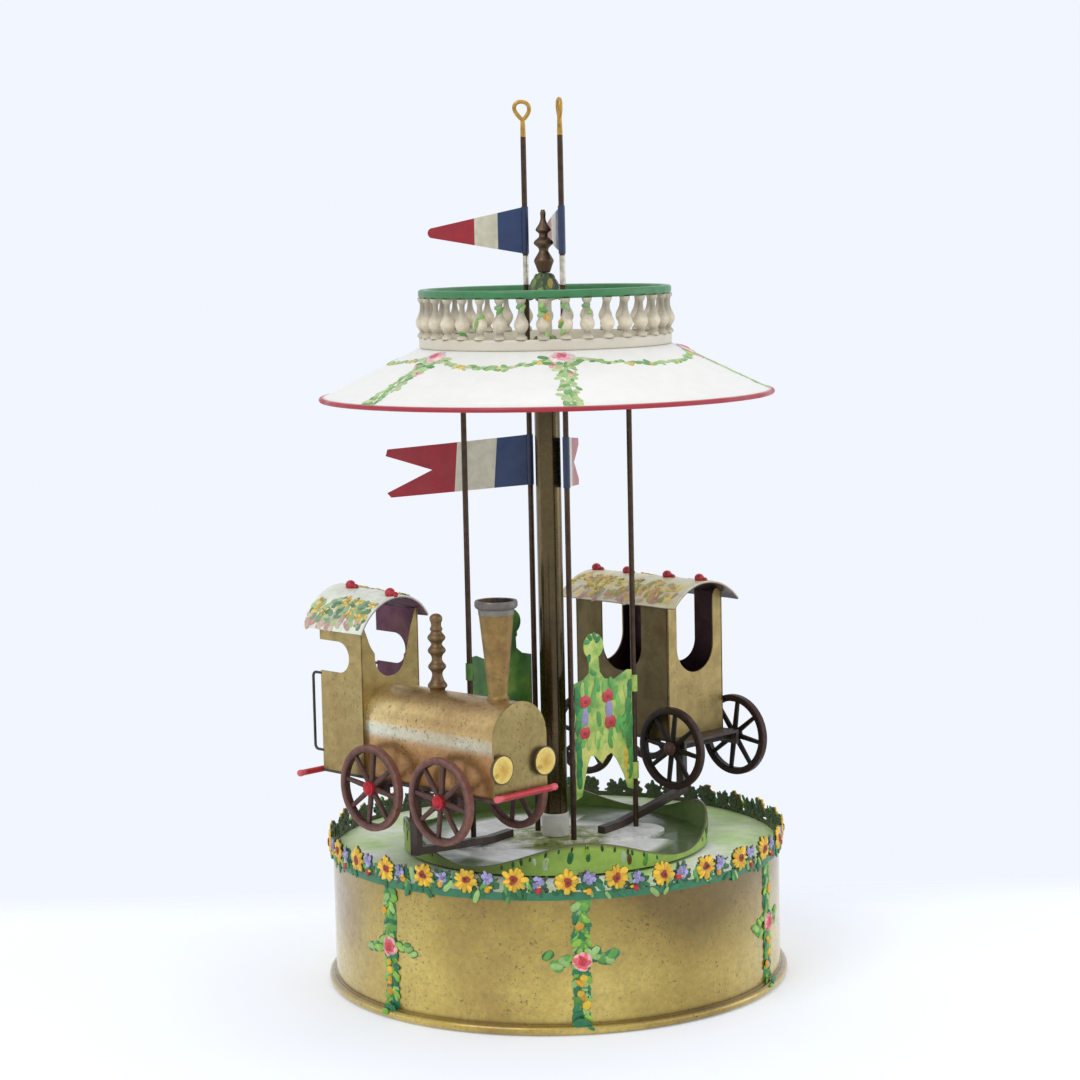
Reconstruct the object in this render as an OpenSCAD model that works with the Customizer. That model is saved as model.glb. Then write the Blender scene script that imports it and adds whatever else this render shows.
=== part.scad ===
// Tin carousel toy: a steam engine and a carriage ride round a flag-topped canopy on a brass drum.
// Millimetres, +Z up. The origin is the middle of the drum's underside, and -Y is the front.

/* [Base drum] */
// Outer diameter of the drum
drum_d = 160; // [150:1:176]
// Height of the drum wall
drum_h = 46; // [44:0.5:56]
// Thickness of the tinplate
sheet_t = 0.6; // [0.5:0.05:0.8]
// Diameter of the rolled bead at the foot of the drum
bead_d = 3.2; // [2.4:0.1:4]
// Height of the flower fence above the drum wall
fence_h = 9.4; // [7:0.1:12]
// How far the flower fence laps down the drum wall
fence_lap = 1.2; // [0.8:0.1:4]
// Number of leaves along the top of the flower fence
fence_leaves = 52; // [40:2:60]

/* [Crank drive] */
// Diameter of the upright spindle
spindle_d = 5; // [4:0.1:6]
// Running clearance on the radius of every shaft
run_gap = 0.05; // [0.03:0.01:0.08]
// Size of a gear tooth, pitch diameter over number of teeth
gear_module = 1.25; // [1.1:0.05:1.35]
// Teeth on the crown wheel
crown_teeth = 40; // [36:2:44]
// Teeth on the pinion
pinion_teeth = 10; // [10:1:11]
// Radial length of the crown teeth
crown_face = 5; // [4:0.2:6]
// Distance from the deck down to the crown wheel
crown_drop = 10; // [8:0.5:12]
// Diameter of the bent crank wire
crank_wire_d = 3; // [2.4:0.1:3.4]
// Throw of the crank
crank_throw = 18; // [14:0.5:20]
// Length of the crank knob
knob_l = 12; // [9:0.5:16]
// Diameter of the crank knob
knob_d = 8; // [7:0.2:10]

/* [Turntable] */
// Outer diameter of the wavy pan
pan_d = 109; // [100:1:116]
// Height of the low points of the pan's rim above its floor
pan_low_h = 1.2; // [0.8:0.1:1.6]
// Height of the crests of the pan's rim above its floor
pan_crest_h = 10; // [7:0.2:11]
// Plan angle of the first crest of the pan's rim
pan_phase = 10; // [8:1:12]
// Length of the hub plate
hub_l = 80; // [74:1:88]
// Width of the hub plate
hub_w = 23; // [22:0.5:26]
// Thickness of the hub plate
hub_t = 1; // [0.8:0.1:1.4]
// Height of the sleeve at the foot of the column
sleeve_h = 8.5; // [7:0.5:11]

/* [Column and canopy] */
// Outer diameter of the column tube
column_d = 9; // [8.4:0.1:10]
// Length of the column tube
column_l = 167; // [155:1:180]
// Outer diameter of the canopy over its rolled rim
canopy_d = 161; // [152:1:170]
// Fall of the canopy from its top to its rim
canopy_fall = 17; // [12:0.5:22]
// Diameter of the rolled rim of the canopy
canopy_bead_d = 2; // [1.6:0.1:2.6]
// Outer diameter of the gallery on the canopy
gallery_d = 89; // [80:1:96]
// Width of the gallery's rings
gallery_w = 2.8; // [2.4:0.1:3.6]
// Height of the gallery's lower ring
gallery_foot_h = 3.8; // [3:0.1:5]
// Height of the gallery's balusters
baluster_h = 13.7; // [12:0.1:18]
// Diameter of the balusters' bulbs
bulb_d = 5.4; // [4.6:0.1:6.2]
// Number of balusters
baluster_count = 36; // [24:1:38]
// Plan angle of the first baluster
baluster_turn = -1; // [-5:0.5:5]
// Height of the gallery's top rail
gallery_rail_h = 2.9; // [2.4:0.1:4.4]
// Height of the leaf pedestal under the finial
pedestal_h = 25.4; // [23:0.2:30]
// Largest radius of the leaf pedestal
pedestal_r = 5.6; // [5:0.1:6.4]
// Height of the finial
finial_h = 22; // [18:0.5:28]
// Largest diameter of the finial
finial_d = 7.2; // [5.5:0.1:7.4]

/* [Rods and flags] */
// Diameter of the flag poles and the stay rods
rod_d = 2; // [1.8:0.1:2.4]
// Sideways place of the right-hand flag pole, mirrored through the column for the left-hand one
pole_x = 6.4; // [6:0.2:8]
// Place of the right-hand flag pole towards the front
pole_front = 8; // [7.4:0.2:9]
// Sideways place of the right-hand stay rod, mirrored through the column for the left-hand one
stay_x = 29.3; // [27:0.2:31]
// Place of the right-hand stay rod towards the back
stay_back = 11; // [9:0.2:12]
// Height of the flag poles above the finial
pole_over = 38.5; // [30:0.5:45]
// Outer diameter of the eyelets on the flag poles
eyelet_d = 7; // [5.6:0.1:8]
// Thickness of the flag sheet
flag_t = 0.4; // [0.3:0.05:0.6]
// Length of the pennants
pennant_l = 34.5; // [28:0.5:40]
// Height of the pennants at the pole
pennant_h = 16.6; // [12:0.2:19]
// Length of the swallowtail flags
swallow_l = 52; // [44:0.5:56]
// Height of the swallowtail flags at the pole
swallow_h = 18; // [14:0.5:22]
// Depth of the fork in the swallowtail flags
swallow_fork = 17; // [10:0.5:24]
// Drop from the canopy's top to the swallowtail flags
swallow_drop = 32; // [26:0.5:40]
// Angle by which the swallowtail flags droop
swallow_droop = 4.3; // [0:0.1:8]
// Plan angle of the left-hand flags
left_flag_turn = 180; // [170:1:190]
// Plan angle of the right-hand pennant and eyelet
right_pennant_turn = 100; // [94:1:102]
// Plan angle of the right-hand swallowtail flag
right_swallow_turn = 85; // [82:1:90]

/* [Figure panels] */
// Height of the panels' shoulders above the hub plate
panel_shoulder = 56; // [50:0.5:62]
// Height of the panels' feet above the hub plate
panel_foot = 14; // [11:0.5:18]
// Radius of the panels' round heads
panel_head_r = 4.6; // [4:0.1:5.2]
// Lift of the rear panel above the front one
rear_panel_lift = 9; // [6:0.5:12]

/* [Train] */
// Distance of the engine and the carriage from the column
ride_r = 56; // [55:0.2:58]
// Plan angle in which the engine drives
train_turn = -45; // [-47:1:-43]
// Diameter of the wheels
wheel_d = 30; // [26:0.5:32]
// Width of the tyres
tyre_w = 2.6; // [2:0.1:3]
// Radial depth of the wheel rims
rim_depth = 2.5; // [2:0.1:3.2]
// Number of spokes
spoke_count = 8; // [6:2:10]
// Distance between the middles of a pair of wheels
track_w = 34.6; // [34.2:0.2:36]
// Diameter of the axles
axle_d = 2.5; // [2:0.1:3]
// Width of the arms that carry the engine and the carriage
arm_w = 3; // [2.4:0.1:4]
// Thickness of the arms
arm_t = 2.6; // [2:0.1:3.2]
// Thickness of the chassis plates
chassis_t = 1; // [0.8:0.1:1.4]

/* [Engine] */
// Height of the engine's axles above the pan floor
engine_axle_h = 28.2; // [26:0.2:30]
// Distance of the engine's front axle ahead of the ride line
engine_front_axle = 19; // [18:0.2:21]
// Distance of the engine's rear axle behind the ride line
engine_rear_axle = 16; // [15:0.2:18]
// Distance of the boiler's front end ahead of the ride line
boiler_front = 39; // [36:0.5:42]
// Distance of the cab's front wall behind the ride line
cab_front = 24; // [22:0.5:26]
// Width of the boiler
boiler_w = 24; // [22:0.2:26]
// Height of the boiler's straight sides
boiler_side = 19; // [15:0.5:23]
// Width of the cab
cab_w = 27; // [26.4:0.2:28]
// Length of the cab
cab_l = 21.5; // [18:0.5:26]
// Height of the cab walls up to the eaves
cab_h = 50; // [44:0.5:54]
// Width of the cab roof
cab_roof_w = 32; // [30:0.5:36]
// Rise of the cab roof
cab_roof_rise = 10; // [7:0.5:11]
// Overhang of the cab roof at the rear
cab_roof_back = 6.5; // [4:0.5:10]
// Overhang of the cab roof at the front
cab_roof_fore = 3; // [1:0.5:5]
// Distance of the chimney behind the boiler's front end
chimney_back = 9.3; // [8:0.1:12]
// Height of the chimney above the boiler
chimney_h = 33.6; // [26:0.2:40]
// Diameter of the chimney's rim
chimney_d = 14.5; // [12:0.5:17]
// Diameter of the chimney's foot
chimney_foot_d = 6.3; // [5.4:0.1:7.4]
// Height of the steam dome above the boiler
dome_h = 26.4; // [22:0.2:30]
// Diameter of the steam dome's foot
dome_d = 6.4; // [5.6:0.1:7.4]
// Diameter of the lamps
lamp_d = 10; // [8:0.2:10.6]
// Thickness of the lamps
lamp_t = 2.2; // [1.6:0.1:3]
// Length of the front buffer bar
front_buffer_l = 27; // [24:0.5:30]
// Length of the rear buffer bar
rear_buffer_l = 46; // [40:0.5:50]
// Diameter of the buffer bars
buffer_d = 2.2; // [1.6:0.1:2.6]
// Diameter of the handrail wire
handrail_d = 1; // [0.8:0.1:1.2]

/* [Carriage] */
// Height of the carriage's axles above the pan floor
carriage_axle_h = 29.4; // [28:0.2:31]
// Distance of each carriage axle from the ride line
carriage_axle = 22; // [21:0.2:24]
// Distance of the body's middle behind the ride line
carriage_back = 4.5; // [3:0.1:6]
// Length of the carriage body
carriage_l = 46; // [42:0.5:50]
// Width of the carriage body
carriage_w = 30; // [28:0.2:30.4]
// Height of the carriage body up to the eaves
carriage_h = 49; // [44:0.5:54]
// Length of the carriage roof
carriage_roof_l = 58; // [52:0.5:62]
// Width of the carriage roof
carriage_roof_w = 36; // [33:0.5:40]
// Rise of the carriage roof
carriage_roof_rise = 8; // [6:0.5:10]
// Width of the windows
window_w = 20; // [16:0.5:21]
// Height of the window sills above the carriage floor
sill_h = 23; // [18:0.5:28]
// Diameter of the berries on the roofs
berry_d = 3.6; // [2.6:0.1:4.4]

/* [Hidden] */
$fn = 64;
eps = 0.01;

// Colours
brass = [0.66, 0.57, 0.34];
dark_brass = [0.42, 0.33, 0.22];
iron = [0.29, 0.2, 0.19];
cream = [0.9, 0.88, 0.82];
leaf_green = [0.28, 0.58, 0.3];
deep_green = [0.22, 0.36, 0.2];
pale_green = [0.75, 0.8, 0.64];
red = [0.72, 0.16, 0.2];
gold = [0.82, 0.66, 0.25];

// Drum and drive
drum_r = drum_d / 2;
spindle_r = spindle_d / 2;
deck_top = drum_h + sheet_t;
bush_wall = 2;
bush_r = spindle_r + run_gap + bush_wall;
bush_flange_t = 0.6;
bush_flange_w = 2;
bush_depth = 4;
step_h = 6;
step_floor = 1;
crown_z = drum_h - crown_drop;
crown_t = 1.2;
crown_r = gear_module * crown_teeth / 2;
crown_hub_wall = 2.5;
crown_hub_r = spindle_r + crown_hub_wall;
crown_hub_h = 2.6;
pinion_r = gear_module * pinion_teeth / 2;
addendum = 0.8 * gear_module;
dedendum = 1.04 * gear_module;
tooth_tip = 0.72 * gear_module;
tooth_root = 1.12 * gear_module;
crank_z = crown_z - dedendum - pinion_r;
crank_wire_r = crank_wire_d / 2;
crank_bush_wall = 1.6;
crank_bush_r = crank_wire_r + run_gap + crank_bush_wall;
crank_flange_w = 1.8;
crank_bush_in = 8;
crank_bush_out = 1.5;
crank_stand = 8;
crank_arm_y = drum_r + crank_bush_out + crank_stand;
bracket_t = 1.5;
bracket_y = crown_r + crown_face / 2 + 6;
bracket_w = 14;
bracket_foot = 10;
bracket_over = 5;
crank_end_y = crown_r - crown_face / 2 - 2;
knob_gap = 0.4;
pin_head_w = 0.9;
pin_head_t = 1;
knob_y = crank_arm_y + crank_wire_r + knob_gap;

// Turntable
turn_gap = 0.4;
pan_z = deck_top + bush_flange_t + turn_gap;
pan_top = pan_z + sheet_t;
hub_top = pan_top + hub_t;
hub_turn = 12;
pan_r = pan_d / 2;
pan_waves = 4;
column_z = hub_top + sleeve_h;
column_r = column_d / 2;
column_bore_r = column_r - sheet_t;
spigot_h = 5;
rod_r = rod_d / 2;
pole_at = [pole_x, -pole_front];
stay_at = [stay_x, stay_back];

// Canopy and what stands on it
canopy_z = column_z + column_l;
canopy_top = canopy_z + sheet_t;
canopy_r = canopy_d / 2;
gallery_r = gallery_d / 2;
baluster_z = canopy_top + gallery_foot_h;
rail_z = baluster_z + baluster_h;
finial_z = canopy_top + pedestal_h;
finial_top = finial_z + finial_h;
eyelet_wire_r = 0.8 * rod_r;
eyelet_r = eyelet_d / 2 - eyelet_wire_r;
eyelet_z = finial_top + pole_over - eyelet_d / 2;
pole_top = eyelet_z - eyelet_r;
flag_sleeve_r = rod_r + flag_t;
pennant_z = finial_top - pennant_h + 1.2;
swallow_z = canopy_top - swallow_drop - swallow_h;

// Figure panels, drawn from a pole to its stay rod
panel_turn = atan2(stay_at.y - pole_at.y, stay_at.x - pole_at.x);
panel_span = norm(stay_at - pole_at);
panel_gap = 0.5;
panel_left = rod_r + panel_gap;
panel_right = panel_span - rod_r;
panel_w = panel_right - panel_left;
panel_sleeve_h = 6;

// Train
wheel_r = wheel_d / 2;
axle_r = axle_d / 2;
axle_gap = 0.25;
cheek_t = 1.2;
cheek_l = 8;
cheek_side_gap = 0.3;
cheek_drop = 1.4;
wheel_hub_r = axle_r + 1.2;
wheel_hub_out = 2;
cap_r = 1.9;
cap_t = 1.3;
spoke_w = 1.6;
spoke_t = 1.4;
half_track = track_w / 2;
hub_in = max(cab_w, carriage_w) / 2 + cheek_side_gap;
hub_out = half_track + wheel_hub_out;

// Arms, in the train's own frame with the column at its origin
arm_root = [11, 13.8];
arm_tip = [2.1, ride_r + 9.8];
arm_span = norm(arm_tip - arm_root);
arm_turn = atan2(arm_tip.y - arm_root.y, arm_tip.x - arm_root.x);
arm_seat = 10;
arm_rise = 4.4;
arm_tail = 2;

// Engine
engine_axle_z = pan_top + engine_axle_h;
engine_plate_z = engine_axle_z + axle_r + axle_gap;
engine_floor = engine_plate_z + chassis_t;
boiler_r = boiler_w / 2;
boiler_axis_z = engine_floor + boiler_side;
boiler_top = boiler_axis_z + boiler_r;
boiler_l = boiler_front + cab_front;
face_t = 0.8;
face_lip = 0.4;
plate_front = boiler_front + face_t + 1.2;
plate_back = cab_front + cab_l + 0.5;
eave_z = engine_floor + cab_h;
cab_roof_r = (pow(cab_roof_w / 2, 2) + pow(cab_roof_rise, 2)) / (2 * cab_roof_rise);
cab_roof_axis = eave_z + cab_roof_rise - cab_roof_r;
roof_t = 0.8;
cab_roof_l = cab_roof_fore + cab_l + cab_roof_back;
lamp_y = 10;
lamp_z = engine_floor + 10;
buffer_r = buffer_d / 2;
buffer_lift = 0.7;
saddle = 2;

// Carriage
carriage_axle_z = pan_top + carriage_axle_h;
carriage_plate_z = carriage_axle_z + axle_r + axle_gap;
carriage_floor = carriage_plate_z + chassis_t;
carriage_eave = carriage_floor + carriage_h;
carriage_roof_r = (pow(carriage_roof_w / 2, 2) + pow(carriage_roof_rise, 2)) / (2 * carriage_roof_rise);
carriage_roof_axis = carriage_eave + carriage_roof_rise - carriage_roof_r;
carriage_plate_l = 2 * carriage_axle + cheek_l;

// Shared shapes

// A tube that stands on the ground plane
module tube(outer_r, inner_r, h) {
    difference() {
        cylinder(r = outer_r, h = h);
        translate([0, 0, -eps]) cylinder(r = inner_r, h = h + 2 * eps);
    }
}

// A cylinder along +X
module rod_x(r, l) {
    rotate([0, 90, 0]) cylinder(r = r, h = l);
}

// A cylinder along +Y
module rod_y(r, l) {
    rotate([-90, 0, 0]) cylinder(r = r, h = l);
}

// A plan outline with straight sides and round ends
module stadium(l, w) {
    square([l - w, w], center = true);
    for (side = [-1, 1]) translate([side * (l - w) / 2, 0]) circle(d = w);
}

// One blunt gear tooth that points along +X from the pitch line
module tooth_outline() {
    polygon([[-dedendum - 0.4, -tooth_root / 2], [addendum, -tooth_tip / 2],
             [addendum, tooth_tip / 2], [-dedendum - 0.4, tooth_root / 2]]);
}

// A barrel roof along X, from its underside radius to its outer radius, w wide
module barrel(l, w, outer_r, inner_r, axis_z, low_z) {
    intersection() {
        translate([0, 0, axis_z]) difference() {
            rod_x(outer_r, l);
            translate([-eps, 0, 0]) rod_x(inner_r, l + 2 * eps);
        }
        translate([0, -w / 2, low_z]) cube([l, w, outer_r]);
    }
}

// The space of the engine: X ahead, -Y outwards
module engine_frame() {
    rotate([0, 0, train_turn]) translate([0, -ride_r, 0]) children();
}

// The space of the carriage: X ahead of its front, +Y outwards
module carriage_frame() {
    rotate([0, 0, train_turn]) translate([0, ride_r, 0]) children();
}

// Base drum

module drum_wall() {
    color(brass) difference() {
        union() {
            translate([0, 0, bead_d / 2]) tube(drum_r, drum_r - sheet_t, drum_h - bead_d / 2);
            rotate_extrude() translate([drum_r - sheet_t + bead_d / 2, bead_d / 2]) circle(d = bead_d);
        }
        translate([0, drum_r - bead_d, crank_z]) rod_y(crank_bush_r, 2 * bead_d);
    }
}

module floor_plate() {
    color(brass) cylinder(r = drum_r - sheet_t, h = sheet_t);
}

module deck_plate() {
    color(pale_green) translate([0, 0, drum_h]) tube(drum_r, bush_r, sheet_t);
}

module flower_fence() {
    notch_r = 0.42 * PI * drum_d / fence_leaves;
    color(deep_green) difference() {
        translate([0, 0, drum_h - fence_lap]) tube(drum_r + sheet_t, drum_r, fence_lap + fence_h);
        for (i = [0 : fence_leaves - 1])
            rotate([0, 0, (i + 0.5) * 360 / fence_leaves])
                translate([drum_r - sheet_t, 0, drum_h + fence_h + 0.2 * notch_r]) rod_x(notch_r, 3 * sheet_t);
    }
}

module spindle_bush() {
    color(brass) difference() {
        union() {
            translate([0, 0, drum_h - bush_depth]) cylinder(r = bush_r, h = bush_depth + sheet_t);
            translate([0, 0, deck_top]) cylinder(r = bush_r + bush_flange_w, h = bush_flange_t);
        }
        cylinder(r = spindle_r + run_gap, h = 2 * drum_h);
    }
}

module step_cup() {
    color(brass) translate([0, 0, sheet_t]) difference() {
        cylinder(r = bush_r, h = step_h);
        translate([0, 0, step_floor]) cylinder(r = spindle_r + run_gap, h = step_h);
    }
}

module crank_bush() {
    color(brass) translate([0, 0, crank_z]) difference() {
        union() {
            translate([0, drum_r - crank_bush_in, 0]) rod_y(crank_bush_r, crank_bush_in + crank_bush_out);
            translate([0, drum_r, 0]) rod_y(crank_bush_r + crank_flange_w, crank_bush_out);
        }
        rod_y(crank_wire_r + run_gap, 2 * drum_r);
    }
}

module crank_bracket() {
    color(brass) difference() {
        translate([-bracket_w / 2, bracket_y, sheet_t]) union() {
            cube([bracket_w, bracket_t, crank_z + bracket_over - sheet_t]);
            cube([bracket_w, bracket_foot, bracket_t]);
        }
        translate([0, 0, crank_z]) rod_y(crank_wire_r + run_gap, drum_r);
    }
}

// Crank and gears

module crank_handle() {
    pin_end = knob_y + knob_l + knob_gap;
    color(dark_brass) translate([0, 0, crank_z]) union() {
        translate([0, crank_end_y, 0]) rod_y(crank_wire_r, crank_arm_y - crank_end_y);
        translate([0, crank_arm_y, 0]) sphere(r = crank_wire_r);
        translate([0, crank_arm_y, -crank_throw]) cylinder(r = crank_wire_r, h = crank_throw);
        translate([0, crank_arm_y, -crank_throw]) sphere(r = crank_wire_r);
        translate([0, crank_arm_y, -crank_throw]) rod_y(crank_wire_r, pin_end - crank_arm_y);
        translate([0, pin_end, -crank_throw]) rod_y(crank_wire_r + pin_head_w, pin_head_t);
    }
}

module drive_pinion() {
    color(brass) translate([0, crown_r + crown_face / 2 - 0.5, crank_z]) rotate([90, 0, 0])
        linear_extrude(crown_face - 1) difference() {
            union() {
                circle(r = pinion_r - dedendum);
                for (i = [0 : pinion_teeth - 1])
                    rotate(90 + (i + 0.5) * 360 / pinion_teeth) translate([pinion_r, 0]) tooth_outline();
            }
            circle(r = crank_wire_r);
        }
}

module crank_knob() {
    color(iron) translate([0, knob_y, crank_z - crank_throw]) rotate([-90, 0, 0]) rotate_extrude()
        polygon([[crank_wire_r + run_gap, 0], [0.32 * knob_d, 0], [0.36 * knob_d, 0.12 * knob_l],
                 [0.5 * knob_d, 0.6 * knob_l], [0.47 * knob_d, 0.85 * knob_l],
                 [0.36 * knob_d, knob_l], [crank_wire_r + run_gap, knob_l]]);
}

module spindle() {
    color(iron) translate([0, 0, sheet_t + step_floor + run_gap])
        cylinder(r = spindle_r, h = column_z + spigot_h - sheet_t - step_floor - run_gap);
}

module crown_wheel() {
    color(brass) union() {
        translate([0, 0, crown_z]) tube(crown_r + crown_face / 2, spindle_r, crown_t);
        translate([0, 0, crown_z]) tube(crown_hub_r, spindle_r, crown_t + crown_hub_h);
        for (i = [0 : crown_teeth - 1])
            rotate([0, 0, 90 + i * 360 / crown_teeth])
                translate([crown_r - crown_face / 2, 0, crown_z - dedendum])
                    rotate([0, 90, 0]) linear_extrude(crown_face) tooth_outline();
    }
}

// Turntable

// Height of the pan's rim above its floor at one plan angle
function rim_h(a) = (pan_crest_h + pan_low_h) / 2
    + (pan_crest_h - pan_low_h) / 2 * cos(pan_waves * (a - pan_phase));

// The pan's wavy wall, as rings of points: outer foot, outer rim, inner rim, inner foot
module wavy_wall(steps) {
    angles = [for (i = [0 : steps - 1]) i * 360 / steps];
    corner = function(a, r, z) [r * cos(a), r * sin(a), z];
    points = [for (a = angles) each [
        corner(a, pan_r, 0), corner(a, pan_r, rim_h(a) + sheet_t),
        corner(a, pan_r - sheet_t, rim_h(a) + sheet_t), corner(a, pan_r - sheet_t, 0)]];
    at = function(i, k) 4 * (i % steps) + k % 4;
    faces = [for (i = [0 : steps - 1]) for (k = [0 : 3]) each [
        [at(i, k), at(i, k + 1), at(i + 1, k + 1)], [at(i, k), at(i + 1, k + 1), at(i + 1, k)]]];
    polyhedron(points, faces);
}

module turntable_pan() {
    color(deep_green) translate([0, 0, pan_z]) union() {
        tube(pan_r - sheet_t / 2, spindle_r, sheet_t);
        wavy_wall(96);
    }
}

module hub_plate() {
    color(cream) translate([0, 0, pan_top]) linear_extrude(hub_t) difference() {
        rotate(hub_turn) stadium(hub_l, hub_w);
        circle(r = spindle_r);
        for (side = [-1, 1]) {
            translate(side * pole_at) circle(r = rod_r + run_gap);
            translate(side * stay_at) circle(r = rod_r);
        }
    }
}

module hub_sleeve() {
    color(cream) translate([0, 0, hub_top]) difference() {
        union() {
            cylinder(r = column_r + 0.4, h = sleeve_h);
            cylinder(r = column_bore_r, h = sleeve_h + spigot_h);
        }
        translate([0, 0, -eps]) cylinder(r = spindle_r, h = sleeve_h + spigot_h + 2 * eps);
    }
}

module column_tube() {
    color(brass) translate([0, 0, column_z]) tube(column_r, column_bore_r, column_l);
}

// Canopy and gallery

module canopy() {
    rim_r = canopy_r - canopy_bead_d / 2;
    rim_z = canopy_top - canopy_fall;
    color(cream) difference() {
        union() {
            rotate_extrude() polygon([
                [0, canopy_z], [gallery_r - sheet_t, canopy_z], [rim_r, rim_z - sheet_t],
                [rim_r, rim_z], [gallery_r, canopy_top], [0, canopy_top]]);
            rotate_extrude() translate([rim_r, rim_z - sheet_t / 2]) circle(d = canopy_bead_d);
        }
        for (side = [-1, 1]) translate([side * pole_at.x, side * pole_at.y, canopy_z - eps])
            cylinder(r = rod_r + run_gap, h = sheet_t + 2 * eps);
    }
}

module gallery_foot() {
    color(cream) translate([0, 0, canopy_top]) tube(gallery_r, gallery_r - gallery_w, gallery_foot_h);
}

module baluster() {
    bulb_r = bulb_d / 2;
    rotate_extrude() polygon([
        [0, 0], [0.7 * bulb_r, 0], [0.7 * bulb_r, 0.06 * baluster_h], [0.52 * bulb_r, 0.14 * baluster_h],
        [0.86 * bulb_r, 0.26 * baluster_h], [bulb_r, 0.38 * baluster_h], [0.92 * bulb_r, 0.48 * baluster_h],
        [0.58 * bulb_r, 0.68 * baluster_h], [0.46 * bulb_r, 0.8 * baluster_h],
        [0.62 * bulb_r, 0.93 * baluster_h], [0.62 * bulb_r, baluster_h], [0, baluster_h]]);
}

module gallery_balusters() {
    color(cream) for (i = [0 : baluster_count - 1])
        rotate([0, 0, baluster_turn + i * 360 / baluster_count])
            translate([gallery_r - gallery_w / 2, 0, baluster_z]) baluster();
}

module gallery_rail() {
    color(leaf_green) translate([0, 0, rail_z]) tube(gallery_r, gallery_r - gallery_w, gallery_rail_h);
}

module finial_pedestal() {
    stem = 0.43 * pedestal_r;
    color(leaf_green) translate([0, 0, canopy_top]) rotate_extrude() polygon([
        [0, 0], [0.8 * pedestal_r, 0], [0.8 * pedestal_r, 0.05 * pedestal_h], [stem, 0.1 * pedestal_h],
        [stem, 0.6 * pedestal_h], [pedestal_r, 0.72 * pedestal_h], [0.97 * pedestal_r, 0.8 * pedestal_h],
        [0.74 * pedestal_r, 0.91 * pedestal_h], [0.38 * pedestal_r, pedestal_h], [0, pedestal_h]]);
}

module finial() {
    bulge = finial_d / 2;
    color(dark_brass) translate([0, 0, finial_z]) rotate_extrude() polygon([
        [0, 0], [0.58 * bulge, 0], [0.76 * bulge, 0.09 * finial_h], [bulge, 0.19 * finial_h],
        [0.8 * bulge, 0.25 * finial_h], [0.45 * bulge, 0.34 * finial_h], [0.5 * bulge, 0.39 * finial_h],
        [0.97 * bulge, 0.46 * finial_h], [0.92 * bulge, 0.5 * finial_h], [0.42 * bulge, 0.57 * finial_h],
        [0.42 * bulge, 0.62 * finial_h], [0.77 * bulge, 0.67 * finial_h], [0.72 * bulge, 0.7 * finial_h],
        [0.36 * bulge, 0.79 * finial_h], [0.24 * bulge, 0.86 * finial_h], [0.28 * bulge, 0.95 * finial_h],
        [0.18 * bulge, finial_h], [0, finial_h]]);
}

// Rods, flags and figures

module stay_rod(side) {
    color(dark_brass) translate([side * stay_at.x, side * stay_at.y, pan_top])
        cylinder(r = rod_r, h = canopy_z - pan_top);
}

module stay_rod_left() {
    stay_rod(-1);
}

module stay_rod_right() {
    stay_rod(1);
}

// The space of a flag pole: X along its flags
module pole_frame(side, turn) {
    translate([side * pole_at.x, side * pole_at.y, 0]) rotate([0, 0, turn]) children();
}

module flag_pole() {
    color(dark_brass) union() {
        translate([0, 0, pan_top + run_gap]) cylinder(r = rod_r, h = pole_top - pan_top - run_gap);
        translate([0, 0, eyelet_z]) rotate([90, 0, 0]) rotate_extrude()
            translate([eyelet_r, 0]) circle(r = eyelet_wire_r);
    }
}

// A flag cut from sheet, with a sleeve rolled round the pole
module flag(z, h) {
    color(red) translate([0, 0, z]) difference() {
        union() {
            cylinder(r = flag_sleeve_r, h = h);
            translate([0, flag_t / 2, 0]) rotate([90, 0, 0]) linear_extrude(flag_t) children();
        }
        translate([0, 0, -eps]) cylinder(r = rod_r, h = h + 2 * eps);
    }
}

module pennant() {
    tip_r = 0.15 * pennant_h;
    flag(pennant_z, pennant_h) union() {
        polygon([[0, 0], [pennant_l - tip_r, 0.48 * pennant_h - tip_r],
                 [pennant_l - tip_r, 0.48 * pennant_h + tip_r], [0, pennant_h]]);
        translate([pennant_l - tip_r, 0.48 * pennant_h]) circle(r = tip_r);
    }
}

module swallowtail() {
    l = swallow_l;
    h = swallow_h;
    outline = [[0, 0], [0.946 * l, 0], [0.977 * l, 0.1 * h], [l - swallow_fork, 0.49 * h],
               [l, 0.84 * h], [0.99 * l, 0.97 * h], [0, h]];
    flag(swallow_z, h) polygon([for (p = outline) [p.x, p.y - p.x * tan(swallow_droop)]]);
}

module flag_pole_left() {
    pole_frame(-1, left_flag_turn) flag_pole();
}

module pennant_left() {
    pole_frame(-1, left_flag_turn) pennant();
}

module swallowtail_left() {
    pole_frame(-1, left_flag_turn) swallowtail();
}

module flag_pole_right() {
    pole_frame(1, right_pennant_turn) flag_pole();
}

module pennant_right() {
    pole_frame(1, right_pennant_turn) pennant();
}

module swallowtail_right() {
    pole_frame(1, right_swallow_turn) swallowtail();
}

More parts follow.
